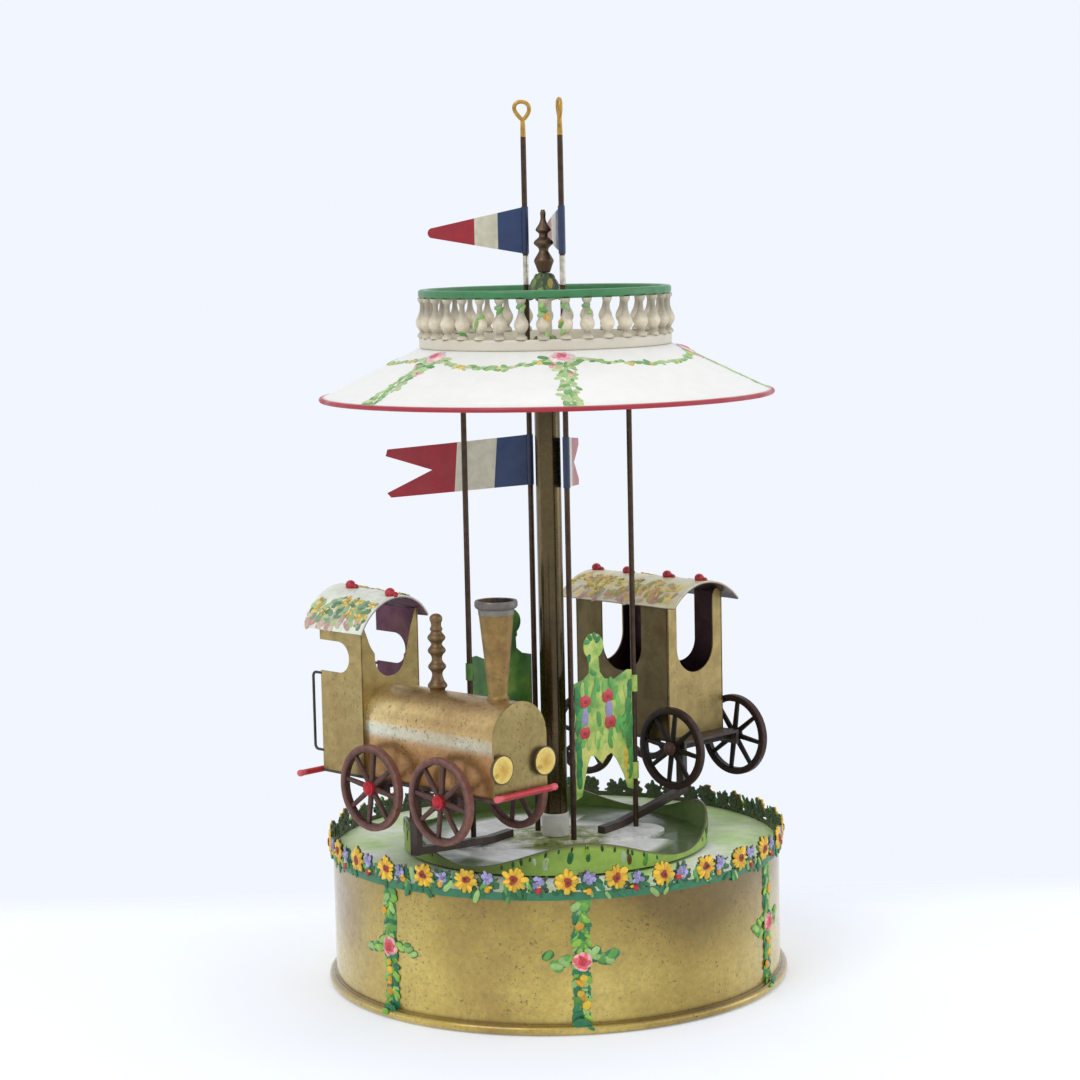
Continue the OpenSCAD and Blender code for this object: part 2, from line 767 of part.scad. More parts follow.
// The cut-out figure, X from the pole to the stay rod, Y up from the hub plate
module figure_outline() {
    low = panel_foot;
    crotch = panel_foot + 15;
    high = panel_shoulder;
    w = panel_w;
    translate([panel_left, 0]) union() {
        polygon([[0, low], [0.1 * w, low + 1], [0.19 * w, crotch - 4], [0.26 * w, crotch],
                 [0.34 * w, crotch - 0.4], [0.46 * w, crotch - 3.4], [0.54 * w, crotch - 1],
                 [0.62 * w, crotch], [0.72 * w, crotch - 3], [0.84 * w, crotch - 9], [0.9 * w, low + 1],
                 [w, low], [w, high + 2], [0.92 * w, high + 2.3], [0.68 * w, high - 0.6],
                 [0.52 * w, high + 0.4], [0.44 * w, high + 3], [0.42 * w, high + 8.4],
                 [0.26 * w, high + 8.4], [0.25 * w, high + 3],
                 [0.16 * w, high + 1], [0, high]]);
        translate([0.34 * w, high + 12.6]) circle(r = panel_head_r);
    }
}

module figure_panel(side, lift) {
    color(leaf_green) rotate([0, 0, side > 0 ? 0 : 180])
        translate([pole_at.x, pole_at.y, hub_top + lift]) rotate([0, 0, panel_turn]) difference() {
            union() {
                translate([0, flag_t / 2, 0]) rotate([90, 0, 0]) linear_extrude(flag_t) figure_outline();
                for (z = [panel_foot + 4, panel_shoulder - panel_sleeve_h])
                    translate([panel_span, 0, z]) cylinder(r = flag_sleeve_r, h = panel_sleeve_h);
            }
            translate([panel_span, 0, 0]) cylinder(r = rod_r, h = 2 * panel_shoulder);
        }
}

module figure_panel_front() {
    figure_panel(1, 0);
}

module figure_panel_rear() {
    figure_panel(-1, rear_panel_lift);
}

// Running gear

// A chassis plate with four cheeks that carry two axles
module chassis(back, front, w, plate_z, axle_z, axles) {
    color(brass) difference() {
        union() {
            translate([back, -w / 2, plate_z]) cube([front - back, w, chassis_t]);
            for (x = axles) for (side = [-1, 1])
                translate([x - cheek_l / 2, side * (w - cheek_t) / 2 - cheek_t / 2,
                           axle_z - axle_r - cheek_drop])
                    cube([cheek_l, cheek_t, plate_z - axle_z + axle_r + cheek_drop + eps]);
        }
        for (x = axles) translate([x, -w, axle_z]) rod_y(axle_r + run_gap, 2 * w);
    }
}

// An axle with a domed cap on each end, along Y about the origin
module axle_pin() {
    color(iron) union() {
        translate([0, -hub_out, 0]) rod_y(axle_r, 2 * hub_out);
        for (side = [0, 180]) rotate([0, 0, side]) translate([0, hub_out, 0]) rotate([-90, 0, 0])
            rotate_extrude() polygon([[0, 0], [cap_r, 0], [cap_r, 0.5 * cap_t], [0.6 * cap_r, cap_t],
                                      [0, cap_t]]);
    }
}

// One spoked wheel about the Z axis, with its tyre centred on the ground plane
module wheel() {
    difference() {
        union() {
            translate([0, 0, -tyre_w / 2]) tube(wheel_r, wheel_r - rim_depth, tyre_w);
            translate([0, 0, hub_in - half_track]) cylinder(r = wheel_hub_r, h = hub_out - hub_in);
            for (i = [0 : spoke_count / 2 - 1]) rotate([0, 0, i * 360 / spoke_count])
                cube([2 * (wheel_r - rim_depth / 2), spoke_w, spoke_t], center = true);
        }
        translate([0, 0, -track_w]) cylinder(r = axle_r, h = 2 * track_w);
    }
}

// A pair of wheels on one axle, along Y about the origin
module wheel_pair() {
    color(iron) for (side = [0, 180]) rotate([0, 0, side])
        translate([0, half_track, 0]) rotate([-90, 0, 0]) wheel();
}

module engine_front_axle_pin() {
    engine_frame() translate([engine_front_axle, 0, engine_axle_z]) axle_pin();
}

module engine_front_wheels() {
    engine_frame() translate([engine_front_axle, 0, engine_axle_z]) wheel_pair();
}

module engine_rear_axle_pin() {
    engine_frame() translate([-engine_rear_axle, 0, engine_axle_z]) axle_pin();
}

module engine_rear_wheels() {
    engine_frame() translate([-engine_rear_axle, 0, engine_axle_z]) wheel_pair();
}

module carriage_front_axle_pin() {
    carriage_frame() translate([carriage_axle, 0, carriage_axle_z]) axle_pin();
}

module carriage_front_wheels() {
    carriage_frame() translate([carriage_axle, 0, carriage_axle_z]) wheel_pair();
}

module carriage_rear_axle_pin() {
    carriage_frame() translate([-carriage_axle, 0, carriage_axle_z]) axle_pin();
}

module carriage_rear_wheels() {
    carriage_frame() translate([-carriage_axle, 0, carriage_axle_z]) wheel_pair();
}

// A bent bar that lies on the hub plate, rises over the pan's rim and stands up under a chassis
module arm(plate_z) {
    low = hub_top + arm_rise;
    color(iron) translate([arm_root.x, arm_root.y, 0]) rotate([0, 0, arm_turn])
        translate([0, arm_w / 2, 0]) rotate([90, 0, 0]) linear_extrude(arm_w) polygon([
            [-arm_tail, hub_top], [arm_seat, hub_top], [arm_span - arm_w / 2, low],
            [arm_span + arm_w / 2, low], [arm_span + arm_w / 2, plate_z], [arm_span - arm_w / 2, plate_z],
            [arm_span - arm_w / 2, low + arm_t],
            [arm_seat, hub_top + arm_t], [-arm_tail, hub_top + arm_t]]);
}

module engine_arm() {
    rotate([0, 0, train_turn + 180]) arm(engine_plate_z);
}

module carriage_arm() {
    rotate([0, 0, train_turn]) arm(carriage_plate_z);
}

// Engine

module engine_chassis() {
    engine_frame() chassis(-plate_back, plate_front, cab_w, engine_plate_z, engine_axle_z,
                           [engine_front_axle, -engine_rear_axle]);
}

// End view of the boiler, straight sides under a half round
module boiler_outline(r) {
    translate([-r, engine_floor]) square([2 * r, boiler_side]);
    translate([0, boiler_axis_z]) circle(r = r);
}

// Stands an end view up and draws it out along X
module along_x(l) {
    rotate([90, 0, 90]) linear_extrude(l) children();
}

module boiler() {
    color(brass) engine_frame() translate([-cab_front, 0, 0]) along_x(boiler_l) difference() {
        boiler_outline(boiler_r);
        boiler_outline(boiler_r - sheet_t);
        translate([-boiler_r, engine_floor - boiler_r]) square([boiler_w, boiler_r]);
    }
}

module smokebox_front() {
    color(brass) engine_frame() translate([boiler_front, 0, 0]) along_x(face_t) difference() {
        boiler_outline(boiler_r + face_lip);
        translate([-boiler_w, engine_floor - boiler_w]) square([2 * boiler_w, boiler_w]);
    }
}

module lamps() {
    color(gold) engine_frame() for (side = [-1, 1]) translate([boiler_front + face_t, side * lamp_y, lamp_z]) {
        rod_x(0.42 * lamp_d, 0.4 * lamp_t);
        translate([0.4 * lamp_t, 0, 0]) rod_x(0.5 * lamp_d, 0.6 * lamp_t);
    }
}

// A bar across the engine, with round ends
module buffer_bar(l) {
    translate([0, -l / 2, 0]) rod_y(buffer_r, l);
    for (side = [-1, 1]) translate([0, side * l / 2, 0]) sphere(r = 1.15 * buffer_r);
}

module front_buffer() {
    bar_z = engine_floor + buffer_lift;
    color(red) engine_frame() union() {
        translate([plate_front + buffer_r, 0, bar_z]) buffer_bar(front_buffer_l);
        for (side = [-1, 1]) translate([plate_front, side * front_buffer_l / 3 - 1.2, engine_plate_z])
            cube([buffer_r, 2.4, chassis_t + buffer_lift]);
    }
}

module rear_buffer() {
    color(red) engine_frame() union() {
        translate([-plate_back - buffer_r, 0, engine_plate_z + chassis_t / 2]) buffer_bar(rear_buffer_l);
        translate([-plate_back - buffer_r, -cab_w / 4, engine_plate_z]) cube([buffer_r, cab_w / 2, chassis_t]);
    }
}

// The cab's walls stop under the roof
module under_cab_roof() {
    translate([-plate_back, 0, cab_roof_axis]) rod_x(cab_roof_r - roof_t, plate_back);
    translate([-plate_back, -cab_w, engine_floor]) cube([plate_back, 2 * cab_w, eave_z - engine_floor]);
}

// The front window, with a round sill over the boiler and wide under the roof
module cab_window() {
    half = 0.26 * cab_w;
    wide = 0.45 * cab_w;
    middle = boiler_top + 0.1 * boiler_w + half;
    widening = max(middle, eave_z - 0.16 * cab_h);
    high = eave_z + cab_roof_rise;
    translate([0, middle]) circle(r = half);
    polygon([[-half, middle], [half, middle], [half, widening], [wide, eave_z + 0.05 * cab_h],
             [wide, high], [-wide, high], [-wide, eave_z + 0.05 * cab_h], [-half, widening]]);
}

module cab() {
    notch_low = engine_floor + 0.7 * cab_h;
    notch_high = engine_floor + 0.92 * cab_h;
    notch_r = (notch_high - notch_low) / 2;
    color(brass) engine_frame() intersection() {
        difference() {
            translate([-cab_front - cab_l, -cab_w / 2, engine_floor])
                cube([cab_l, cab_w, cab_h + cab_roof_rise]);
            translate([-cab_front - cab_l - eps, -cab_w / 2 + sheet_t, engine_floor - eps])
                cube([cab_l - sheet_t, cab_w - 2 * sheet_t, 2 * cab_h]);
            // Windows cut in from the rear edge of both sides
            translate([-cab_front - cab_l - eps, -cab_w, notch_low])
                cube([0.45 * cab_l, 2 * cab_w, 2 * notch_r]);
            translate([-cab_front - 0.55 * cab_l, -cab_w, notch_low + notch_r]) rod_y(notch_r, 2 * cab_w);
            // Window in the front wall
            translate([-cab_front - 2 * sheet_t, 0, 0]) along_x(4 * sheet_t) cab_window();
        }
        under_cab_roof();
    }
}

module cab_roof() {
    color(pale_green) engine_frame() translate([-cab_front + cab_roof_fore - cab_roof_l, 0, 0])
        barrel(cab_roof_l, cab_roof_w, cab_roof_r, cab_roof_r - roof_t, cab_roof_axis, eave_z - roof_t);
}

// Round berries in a row along the crest of a roof
module berries(places, roof_r, roof_axis) {
    color(red) difference() {
        for (x = places) translate([x, 0, roof_axis + roof_r + 0.3 * berry_d]) sphere(d = berry_d);
        translate([min(places) - berry_d, 0, roof_axis])
            rod_x(roof_r, max(places) - min(places) + 2 * berry_d);
    }
}

module cab_roof_berries() {
    edge = -cab_front + cab_roof_fore;
    engine_frame() berries([edge - 0.07 * cab_roof_l, edge - 0.74 * cab_roof_l], cab_roof_r, cab_roof_axis);
}

module cab_handrails() {
    r = handrail_d / 2;
    reach = 4.5;
    low = engine_floor + 0.13 * cab_h;
    high = engine_floor + 0.68 * cab_h;
    color(iron) engine_frame() for (side = [-1, 1])
        translate([-cab_front - cab_l, side * (cab_w - sheet_t) / 2, 0]) {
            for (z = [low, high]) translate([-reach, 0, z]) {
                rod_x(r, reach);
                sphere(r = r);
            }
            translate([-reach, 0, low]) cylinder(r = r, h = high - low);
        }
}

// A turned piece that sits on the boiler, hollowed to fit its top
module on_boiler(x) {
    translate([x, 0, 0]) difference() {
        translate([0, 0, boiler_top - saddle]) children();
        translate([-boiler_w, 0, boiler_axis_z]) rod_x(boiler_r, 2 * boiler_w);
    }
}

module chimney() {
    foot = chimney_foot_d / 2;
    collar = 1.2 * foot;
    rim = chimney_d / 2;
    neck = 0.82 * rim;
    wall = 0.14 * rim;
    top = saddle + chimney_h;
    rim_low = top - 0.07 * chimney_h;
    neck_top = rim_low - 0.035 * chimney_h;
    bore_low = saddle + 0.15 * chimney_h;
    color(brass) engine_frame() on_boiler(boiler_front - chimney_back) rotate_extrude() polygon([
        [0, 0], [collar, 0], [collar, saddle + 0.03 * chimney_h], [foot, saddle + 0.06 * chimney_h],
        [neck, neck_top], [rim, rim_low], [rim, top], [rim - wall, top], [neck - wall, neck_top],
        [foot - wall, bore_low], [0, bore_low]]);
}

module steam_dome() {
    foot = dome_d / 2;
    ring = 0.86 * foot;
    neck = 0.54 * foot;
    top = saddle + dome_h;
    rise = dome_h;
    color(brass) engine_frame() on_boiler(0) rotate_extrude() polygon(concat(
        [[0, 0], [foot, 0], [foot, saddle + 0.12 * rise], [neck, saddle + 0.18 * rise]],
        [for (k = [0 : 2]) each [
            [ring, saddle + (0.26 + 0.19 * k) * rise], [ring, saddle + (0.31 + 0.19 * k) * rise],
            [neck, saddle + (0.37 + 0.19 * k) * rise]]],
        [[ring, saddle + 0.85 * rise], [ring, saddle + 0.92 * rise], [0.6 * ring, top - 0.02 * rise],
         [0, top]]));
}

// Carriage

module carriage_chassis() {
    carriage_frame() chassis(-carriage_plate_l / 2 - carriage_back / 2, carriage_plate_l / 2, carriage_w,
                             carriage_plate_z, carriage_axle_z, [carriage_axle, -carriage_axle]);
}

// A window with a round sill, open at the top
module window_outline(h) {
    translate([-window_w / 2, window_w / 2]) square([window_w, h]);
    translate([0, window_w / 2]) circle(d = window_w);
}

module carriage_body() {
    tall = carriage_h + carriage_roof_rise;
    color(brass) carriage_frame() translate([-carriage_back, 0, 0]) intersection() {
        translate([0, 0, carriage_floor]) difference() {
            translate([-carriage_l / 2, -carriage_w / 2, 0]) cube([carriage_l, carriage_w, tall]);
            translate([-carriage_l / 2 + sheet_t, -carriage_w / 2 + sheet_t, -eps])
                cube([carriage_l - 2 * sheet_t, carriage_w - 2 * sheet_t, 2 * tall]);
            translate([0, carriage_w, sill_h]) rotate([90, 0, 0])
                linear_extrude(2 * carriage_w) window_outline(tall);
            translate([-carriage_l, 0, sill_h]) along_x(2 * carriage_l) window_outline(tall);
        }
        union() {
            translate([-carriage_l, 0, carriage_roof_axis]) rod_x(carriage_roof_r - roof_t, 2 * carriage_l);
            translate([-carriage_l, -carriage_w, carriage_floor])
                cube([2 * carriage_l, 2 * carriage_w, carriage_h / 2]);
        }
    }
}

module carriage_roof() {
    color(pale_green) carriage_frame() translate([-carriage_back - carriage_roof_l / 2, 0, 0])
        barrel(carriage_roof_l, carriage_roof_w, carriage_roof_r, carriage_roof_r - roof_t,
               carriage_roof_axis, carriage_eave - roof_t);
}

module carriage_roof_berries() {
    step = carriage_roof_l / 3.3;
    carriage_frame() translate([-carriage_back, 0, 0])
        berries([-1.5 * step, -0.6 * step, 0.55 * step, 1.45 * step], carriage_roof_r, carriage_roof_axis);
}

drum_wall();
floor_plate();
deck_plate();
flower_fence();
spindle_bush();
step_cup();
crank_bush();
crank_bracket();
crank_handle();
drive_pinion();
crank_knob();
spindle();
crown_wheel();
turntable_pan();
hub_plate();
hub_sleeve();
column_tube();
canopy();
gallery_foot();
gallery_balusters();
gallery_rail();
finial_pedestal();
finial();
stay_rod_left();
stay_rod_right();
figure_panel_front();
figure_panel_rear();
flag_pole_left();
pennant_left();
swallowtail_left();
flag_pole_right();
pennant_right();
swallowtail_right();
engine_arm();
engine_chassis();
boiler();
smokebox_front();
lamps();
front_buffer();
rear_buffer();
cab();
cab_roof();
cab_roof_berries();
cab_handrails();
chimney();
steam_dome();
engine_front_axle_pin();
engine_front_wheels();
engine_rear_axle_pin();
engine_rear_wheels();
carriage_arm();
carriage_chassis();
carriage_body();
carriage_roof();
carriage_roof_berries();
carriage_front_axle_pin();
carriage_front_wheels();
carriage_rear_axle_pin();
carriage_rear_wheels();
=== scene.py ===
import math

import bmesh
import bpy
import numpy as np
from mathutils import Matrix, Vector
from mathutils.geometry import tessellate_polygon


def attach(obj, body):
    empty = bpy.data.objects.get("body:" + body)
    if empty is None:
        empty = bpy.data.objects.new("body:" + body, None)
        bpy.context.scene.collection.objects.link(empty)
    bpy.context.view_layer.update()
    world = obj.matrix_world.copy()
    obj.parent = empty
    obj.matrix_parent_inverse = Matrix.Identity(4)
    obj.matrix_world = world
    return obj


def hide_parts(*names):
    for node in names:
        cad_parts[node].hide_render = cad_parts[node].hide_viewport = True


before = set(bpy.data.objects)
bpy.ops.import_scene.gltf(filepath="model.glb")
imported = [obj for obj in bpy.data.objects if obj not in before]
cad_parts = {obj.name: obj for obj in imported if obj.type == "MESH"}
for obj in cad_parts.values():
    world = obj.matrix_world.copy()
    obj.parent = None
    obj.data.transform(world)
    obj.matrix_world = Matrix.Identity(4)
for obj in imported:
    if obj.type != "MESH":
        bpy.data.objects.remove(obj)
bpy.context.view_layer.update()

MM = 0.001
rng = np.random.default_rng(11)
scene = bpy.context.scene


def srgb(r, g, b):
    """Linear colour of a paint that is written in 0 to 255 steps."""
    c = np.array([r, g, b], float) / 255
    return np.where(c <= 0.04045, c / 12.92, ((c + 0.055) / 1.055) ** 2.4)


# Sizes shared with the solids
DRUM_R, DRUM_H, SHEET_T, BEAD_R = 80, 46, 0.6, 1.6
PAN_R, PAN_Z = 54.5, 47.6
HUB_TOP, COLUMN_Z, COLUMN_R = 49.2, 57.7, 4.5
CANOPY_TOP, CANOPY_RIM_R, CANOPY_RIM_Z, CANOPY_BEAD_R = 225.3, 79.5, 208.3, 0.8
GALLERY_R, GALLERY_W = 44.5, 2.8
FOOT_H, BALUSTER_H, RAIL_H = 3.8, 13.7, 2.9
FINIAL_Z, FINIAL_H = 250.7, 22
POLE, STAY, ROD_R = (6.4, -8.0), (29.3, 11.0), 1.0
PENNANT_Z, PENNANT_H, PENNANT_L, SWALLOW_Z, SWALLOW_H, SWALLOW_L, FLAG_T = 257.3, 16.6, 34.5, 175.3, 18, 52, 0.4
WHEEL_R, RIM_IN_R, RIM_HALF, TRACK_HALF = 15, 12.5, 1.3, 17.3
RIDE_R, TRAIN_TURN = 56, -45
ENGINE_AXLE_Z, ENGINE_FLOOR, BOILER_R, BOILER_AXIS = 76.4, 78.9, 12, 97.9
BOILER_TOP, BOILER_FRONT, PLATE_FRONT = 109.9, 39, 39.8
CAB_BACK, CAB_FRONT, CAB_HALF, CAB_ROOF_R, CAB_ROOF_AXIS = -45.5, -24, 13.5, 17.8, 121.1
ROOF_T, ROOF_LEAN = 0.8, 1.7
CAB_ROOF, CAR_ROOF = (-52, -21, 16), (-33.5, 24.5, 18)  # rear end, front end and half width
CAR_AXLE_Z, CAR_FLOOR, CAR_HALF, CAR_ROOF_R, CAR_ROOF_AXIS = 77.6, 80.1, 15, 24.25, 112.85
CAR_BACK, CAR_FRONT, CAR_MID = -27.5, 18.5, -4.5

# Paints
WHITE, CREAM, BALUSTER = srgb(240, 238, 231), srgb(226, 222, 212), srgb(220, 208, 182)
RIM_RED, RED, RED_HIGHLIGHT = srgb(165, 32, 48), srgb(190, 40, 52), srgb(224, 96, 104)
ROSE, ROSE_DEEP, ROSE_PALE = srgb(228, 102, 104), srgb(204, 58, 70), srgb(241, 178, 176)
LEAF, LEAF_DARK, LEAF_PALE, TEAL = srgb(98, 160, 70), srgb(38, 108, 58), srgb(156, 194, 112), srgb(42, 122, 80)
YELLOW, YELLOW_DEEP, DAISY_EYE = srgb(242, 196, 52), srgb(226, 160, 40), srgb(150, 58, 32)
LILAC, MAUVE = srgb(166, 158, 204), srgb(204, 160, 146)
NAVY, FLAG_CREAM, FLAG_RED = srgb(24, 52, 98), srgb(214, 207, 182), srgb(160, 12, 32)
MAROON, MAROON_DARK = srgb(98, 56, 72), srgb(52, 22, 30)
IRON, IRON_LIT, IRON_DARK = srgb(88, 58, 50), srgb(132, 88, 76), srgb(34, 24, 20)
ROOF, FENCE_GREEN, ROD_BROWN, GOLD = srgb(236, 240, 222), srgb(66, 80, 48), srgb(76, 58, 44), srgb(196, 152, 70)


# Shells: every shape is (points, faces, tints), with a colour on each point

def grid_faces(rows, cols, wrap_rows=False, wrap_cols=False):
    """Quads that join each point of a grid to its neighbours, closing a direction that wraps."""
    i, j = np.meshgrid(np.arange(rows if wrap_rows else rows - 1),
                       np.arange(cols if wrap_cols else cols - 1), indexing="ij")
    i2, j2 = (i + 1) % rows, (j + 1) % cols
    return np.stack([i * cols + j, i2 * cols + j, i2 * cols + j2, i * cols + j2], -1).reshape(-1, 4)


def tinted(points, tint):
    """One colour for each point, from one colour or an array of them."""
    return np.broadcast_to(np.asarray(tint, float), points.shape).reshape(-1, 3)


def surface(points, tint, wrap_rows=False, wrap_cols=False):
    """A grid of points as a shell."""
    rows, cols = points.shape[:2]
    return points.reshape(-1, 3), grid_faces(rows, cols, wrap_rows, wrap_cols), tinted(points, tint)


def sheet(points, thick, tint, back=None):
    """A sheet of metal: the grid moved half a thickness to both sides along its normal, closed at its edges."""
    normal = np.cross(np.gradient(points, axis=0), np.gradient(points, axis=1))
    normal /= np.linalg.norm(normal, axis=2, keepdims=True) + 1e-12
    front, rear = points + normal * thick / 2, points - normal * thick / 2
    loop = np.concatenate([front, rear[:, ::-1]], 1)
    rear_tint = tinted(points, tint if back is None else back).reshape(points.shape)
    tints = np.concatenate([tinted(points, tint).reshape(points.shape), rear_tint[:, ::-1]], 1)
    rows, cols = points.shape[:2]
    j = np.arange(cols - 1)
    end = np.stack([j, j + 1, 2 * cols - 2 - j, 2 * cols - 1 - j], 1)
    faces = np.vstack([grid_faces(rows, 2 * cols, wrap_cols=True), end, end + (rows - 1) * 2 * cols])
    return loop.reshape(-1, 3), faces, tints.reshape(-1, 3)


def lathe(profile, tint, steps=96, loop=False):
    """A profile of radius and height turned about Z. Tints may follow the profile."""
    profile = np.asarray(profile, float)
    turn = np.linspace(0, 2 * np.pi, steps, endpoint=False)[:, None]
    r, z = profile[None, :, 0], profile[None, :, 1] + 0 * turn
    points = np.stack([r * np.cos(turn), r * np.sin(turn), z], -1)
    return surface(points, tint, True, loop)


def tube(path, radius, tint, sides=12, closed=False):
    """A round wire: a circle carried along a path, with its ends drawn to a point unless it closes on itself."""
    path = np.asarray(path, float)
    ahead = np.roll(path, -1, 0) - np.roll(path, 1, 0) if closed else np.gradient(path, axis=0)
    ahead /= np.linalg.norm(ahead, axis=1, keepdims=True)
    side = np.cross(ahead, np.eye(3)[np.argmin(np.abs(ahead).mean(0))])
    side /= np.linalg.norm(side, axis=1, keepdims=True)
    up = np.cross(ahead, side)
    radius = np.broadcast_to(np.asarray(radius, float), len(path))
    tint = np.broadcast_to(np.asarray(tint, float), path.shape)
    if not closed:
        pad = lambda a: np.concatenate([a[:1], a, a[-1:]])
        path, side, up, tint = pad(path), pad(side), pad(up), pad(tint)
        radius = np.concatenate([[0], radius, [0]])
    turn = np.linspace(0, 2 * np.pi, sides, endpoint=False)[None, :, None]
    ring = side[:, None] * np.cos(turn) + up[:, None] * np.sin(turn)
    points = path[:, None] + ring * radius[:, None, None]
    return surface(points, tint[:, None], closed, True)


def prism(outline, low, high, tint):
    """A flat outline drawn out from one height to another, with both ends filled."""
    outline = np.asarray(outline, float)
    n = len(outline)
    points = np.concatenate([np.c_[outline, np.full(n, low)], np.c_[outline, np.full(n, high)]])
    i = np.arange(n)
    walls = np.stack([i, (i + 1) % n, (i + 1) % n + n, i + n], 1)
    fill = np.array(tessellate_polygon([[Vector((x, y, 0)) for x, y in outline]]))
    return points, [walls, fill, fill + n], tinted(points, tint)


def joined(*shells):
    """Several shells as one."""
    points, faces, tints, start = [], [], [], 0
    for p, f, t in shells:
        points.append(p)
        tints.append(t)
        faces += [a + start for a in (f if isinstance(f, list) else [f])]
        start += len(p)
    return np.vstack(points), faces, np.vstack(tints)


def moved(shell, place):
    """A shell whose points went through a placing function."""
    return place(shell[0]), shell[1], shell[2]


def turned(points, degrees):
    """Points turned about Z."""
    c, s = math.cos(math.radians(degrees)), math.sin(math.radians(degrees))
    return points @ np.array([[c, s, 0], [-s, c, 0], [0, 0, 1]])


def on_engine(points):
    """From the engine's own frame, X ahead and -Y outwards, to the toy's."""
    return turned(points + [0, -RIDE_R, 0], TRAIN_TURN)


def on_carriage(points):
    """From the carriage's own frame, X ahead and +Y outwards, to the toy's."""
    return turned(points + [0, RIDE_R, 0], TRAIN_TURN)


def lying(points):
    """A shape turned about Z laid with its axis along +X."""
    return points[:, [2, 0, 1]]


def across(points):
    """A shape turned about Z laid with its axis along +Y."""
    return points[:, [1, 2, 0]]


def arc(cx, cz, r, start, end, n):
    """Points of a round corner in a profile, by angles in degrees."""
    a = np.radians(np.linspace(start, end, n))
    return np.c_[cx + r * np.cos(a), cz + r * np.sin(a)]


def square_ring(inner, outer, low, high):
    """A ring's closed section with square corners."""
    return np.array([[inner, low], [outer, low], [outer, high], [inner, high]])


def rounded_ring(inner, outer, low, high, fillet):
    """A ring's closed section with rounded corners."""
    f = fillet
    return np.vstack([arc(outer - f, high - f, f, 90, 0, 6), arc(outer - f, low + f, f, 0, -90, 6),
                      arc(inner + f, low + f, f, 270, 180, 6), arc(inner + f, high - f, f, 180, 90, 6)])


def bands(*runs):
    """Colours along a profile: each paint for its count of points."""
    return np.vstack([np.tile(paint, (count, 1)) for paint, count in runs])


def ring_axes(degrees):
    """The outward and the sideways direction at each plan angle."""
    a = np.radians(np.asarray(degrees, float))
    return np.stack([np.cos(a), np.sin(a), 0 * a], 1), np.stack([-np.sin(a), np.cos(a), 0 * a], 1)


# Brush strokes: small lens-shaped dabs of thick paint that lie on a surface.
# A set of spots is (place, along, across, out): where dabs sit and which way they face.

def dab_form(rings=6, sides=6, blunt=0.7):
    """A closed lens: X from tip to tip, its half width the sine of the way along, to a power."""
    a = np.linspace(0, np.pi, rings)[:, None]
    turn = np.linspace(0, 2 * np.pi, sides, endpoint=False)[None]
    half = np.sin(a) ** blunt
    return np.stack([-np.cos(a) + 0 * turn, half * np.cos(turn), half * np.sin(turn)], -1)


def dabs(spots, turn, size, tint, form=None):
    """Copies of a dab form, each set on a spot (place, along, across, out), turned in its plane and sized."""
    form = dab_form() if form is None else form
    place, along, cross, out = spots
    c, s = np.cos(turn)[:, None], np.sin(turn)[:, None]
    e1, e2 = along * c + cross * s, cross * c - along * s
    size = np.broadcast_to(np.asarray(size, float), (len(place), 3))
    local = form.reshape(1, -1, 3) * size[:, None]
    points = (place[:, None] + local[..., :1] * e1[:, None] + local[..., 1:2] * e2[:, None]
              + local[..., 2:] * out[:, None])
    rows, cols = form.shape[:2]
    one = grid_faces(rows, cols, wrap_cols=True)
    faces = (one[None] + (np.arange(len(place)) * rows * cols)[:, None, None]).reshape(-1, 4)
    tints = np.broadcast_to(np.broadcast_to(tint, (len(place), 3))[:, None], points.shape)
    return points.reshape(-1, 3), faces, tints.reshape(-1, 3)


def sizes(long, wide, thick):
    """The half length, half width and half thickness of each dab."""
    return np.stack(np.broadcast_arrays(long, wide, thick), 1)


def flat_spots(place, along, cross, out):
    """Spots that all face the same way."""
    return place, *[np.tile(np.array(way, float), (len(place), 1)) for way in (along, cross, out)]


def round_spots(angle, z, radius):
    """Spots on an upright cylinder by plan angle in degrees and height."""
    out, along = ring_axes(angle)
    z = np.broadcast_to(np.asarray(z, float), len(out))
    return out * radius + z[:, None] * [0, 0, 1], along, np.tile([0.0, 0, 1], (len(out), 1)), out


def drum_spots(angle, z, lift=0.0):
    """Spots on the drum wall."""
    return round_spots(angle, z, DRUM_R + lift)


SLOPE = np.array([CANOPY_RIM_R - GALLERY_R, CANOPY_RIM_Z - CANOPY_TOP])


def canopy_spots(angle, share):
    """Spots on the canopy's cone by plan angle in degrees and share of the way down its slope."""
    flat, along = ring_axes(angle)
    share = np.broadcast_to(np.asarray(share, float), len(flat))[:, None]
    dr, dz = SLOPE / np.linalg.norm(SLOPE)
    place = flat * (GALLERY_R + SLOPE[0] * share) + (CANOPY_TOP + SLOPE[1] * share) * [0, 0, 1]
    return place, along, -(flat * dr + np.array([0, 0, dz])), flat * -dz + np.array([0, 0, dr])


def roof_spots(x, y, radius, axis, place):
    """Spots on a barrel roof by the distance along it and the distance round from its crest."""
    a = np.asarray(y, float) / radius
    out = np.stack([0 * a, np.sin(a), np.cos(a)], 1)
    cross = np.stack([0 * a, np.cos(a), -np.sin(a)], 1)
    at = np.stack([np.asarray(x, float), radius * np.sin(a), axis + radius * np.cos(a)], 1)
    whirl = lambda v: turned(v, TRAIN_TURN)
    return place(at), whirl(np.tile([1.0, 0, 0], (len(a), 1))), whirl(cross), whirl(out)


def offset(spots, turn, reach):
    """Spots moved in their own planes."""
    place, along, cross, out = spots
    step = along * (np.cos(turn) * reach)[:, None] + cross * (np.sin(turn) * reach)[:, None]
    return place + step, along, cross, out


def repeated(spots, count):
    """Each spot several times over."""
    return tuple(np.repeat(a, count, 0) for a in spots)


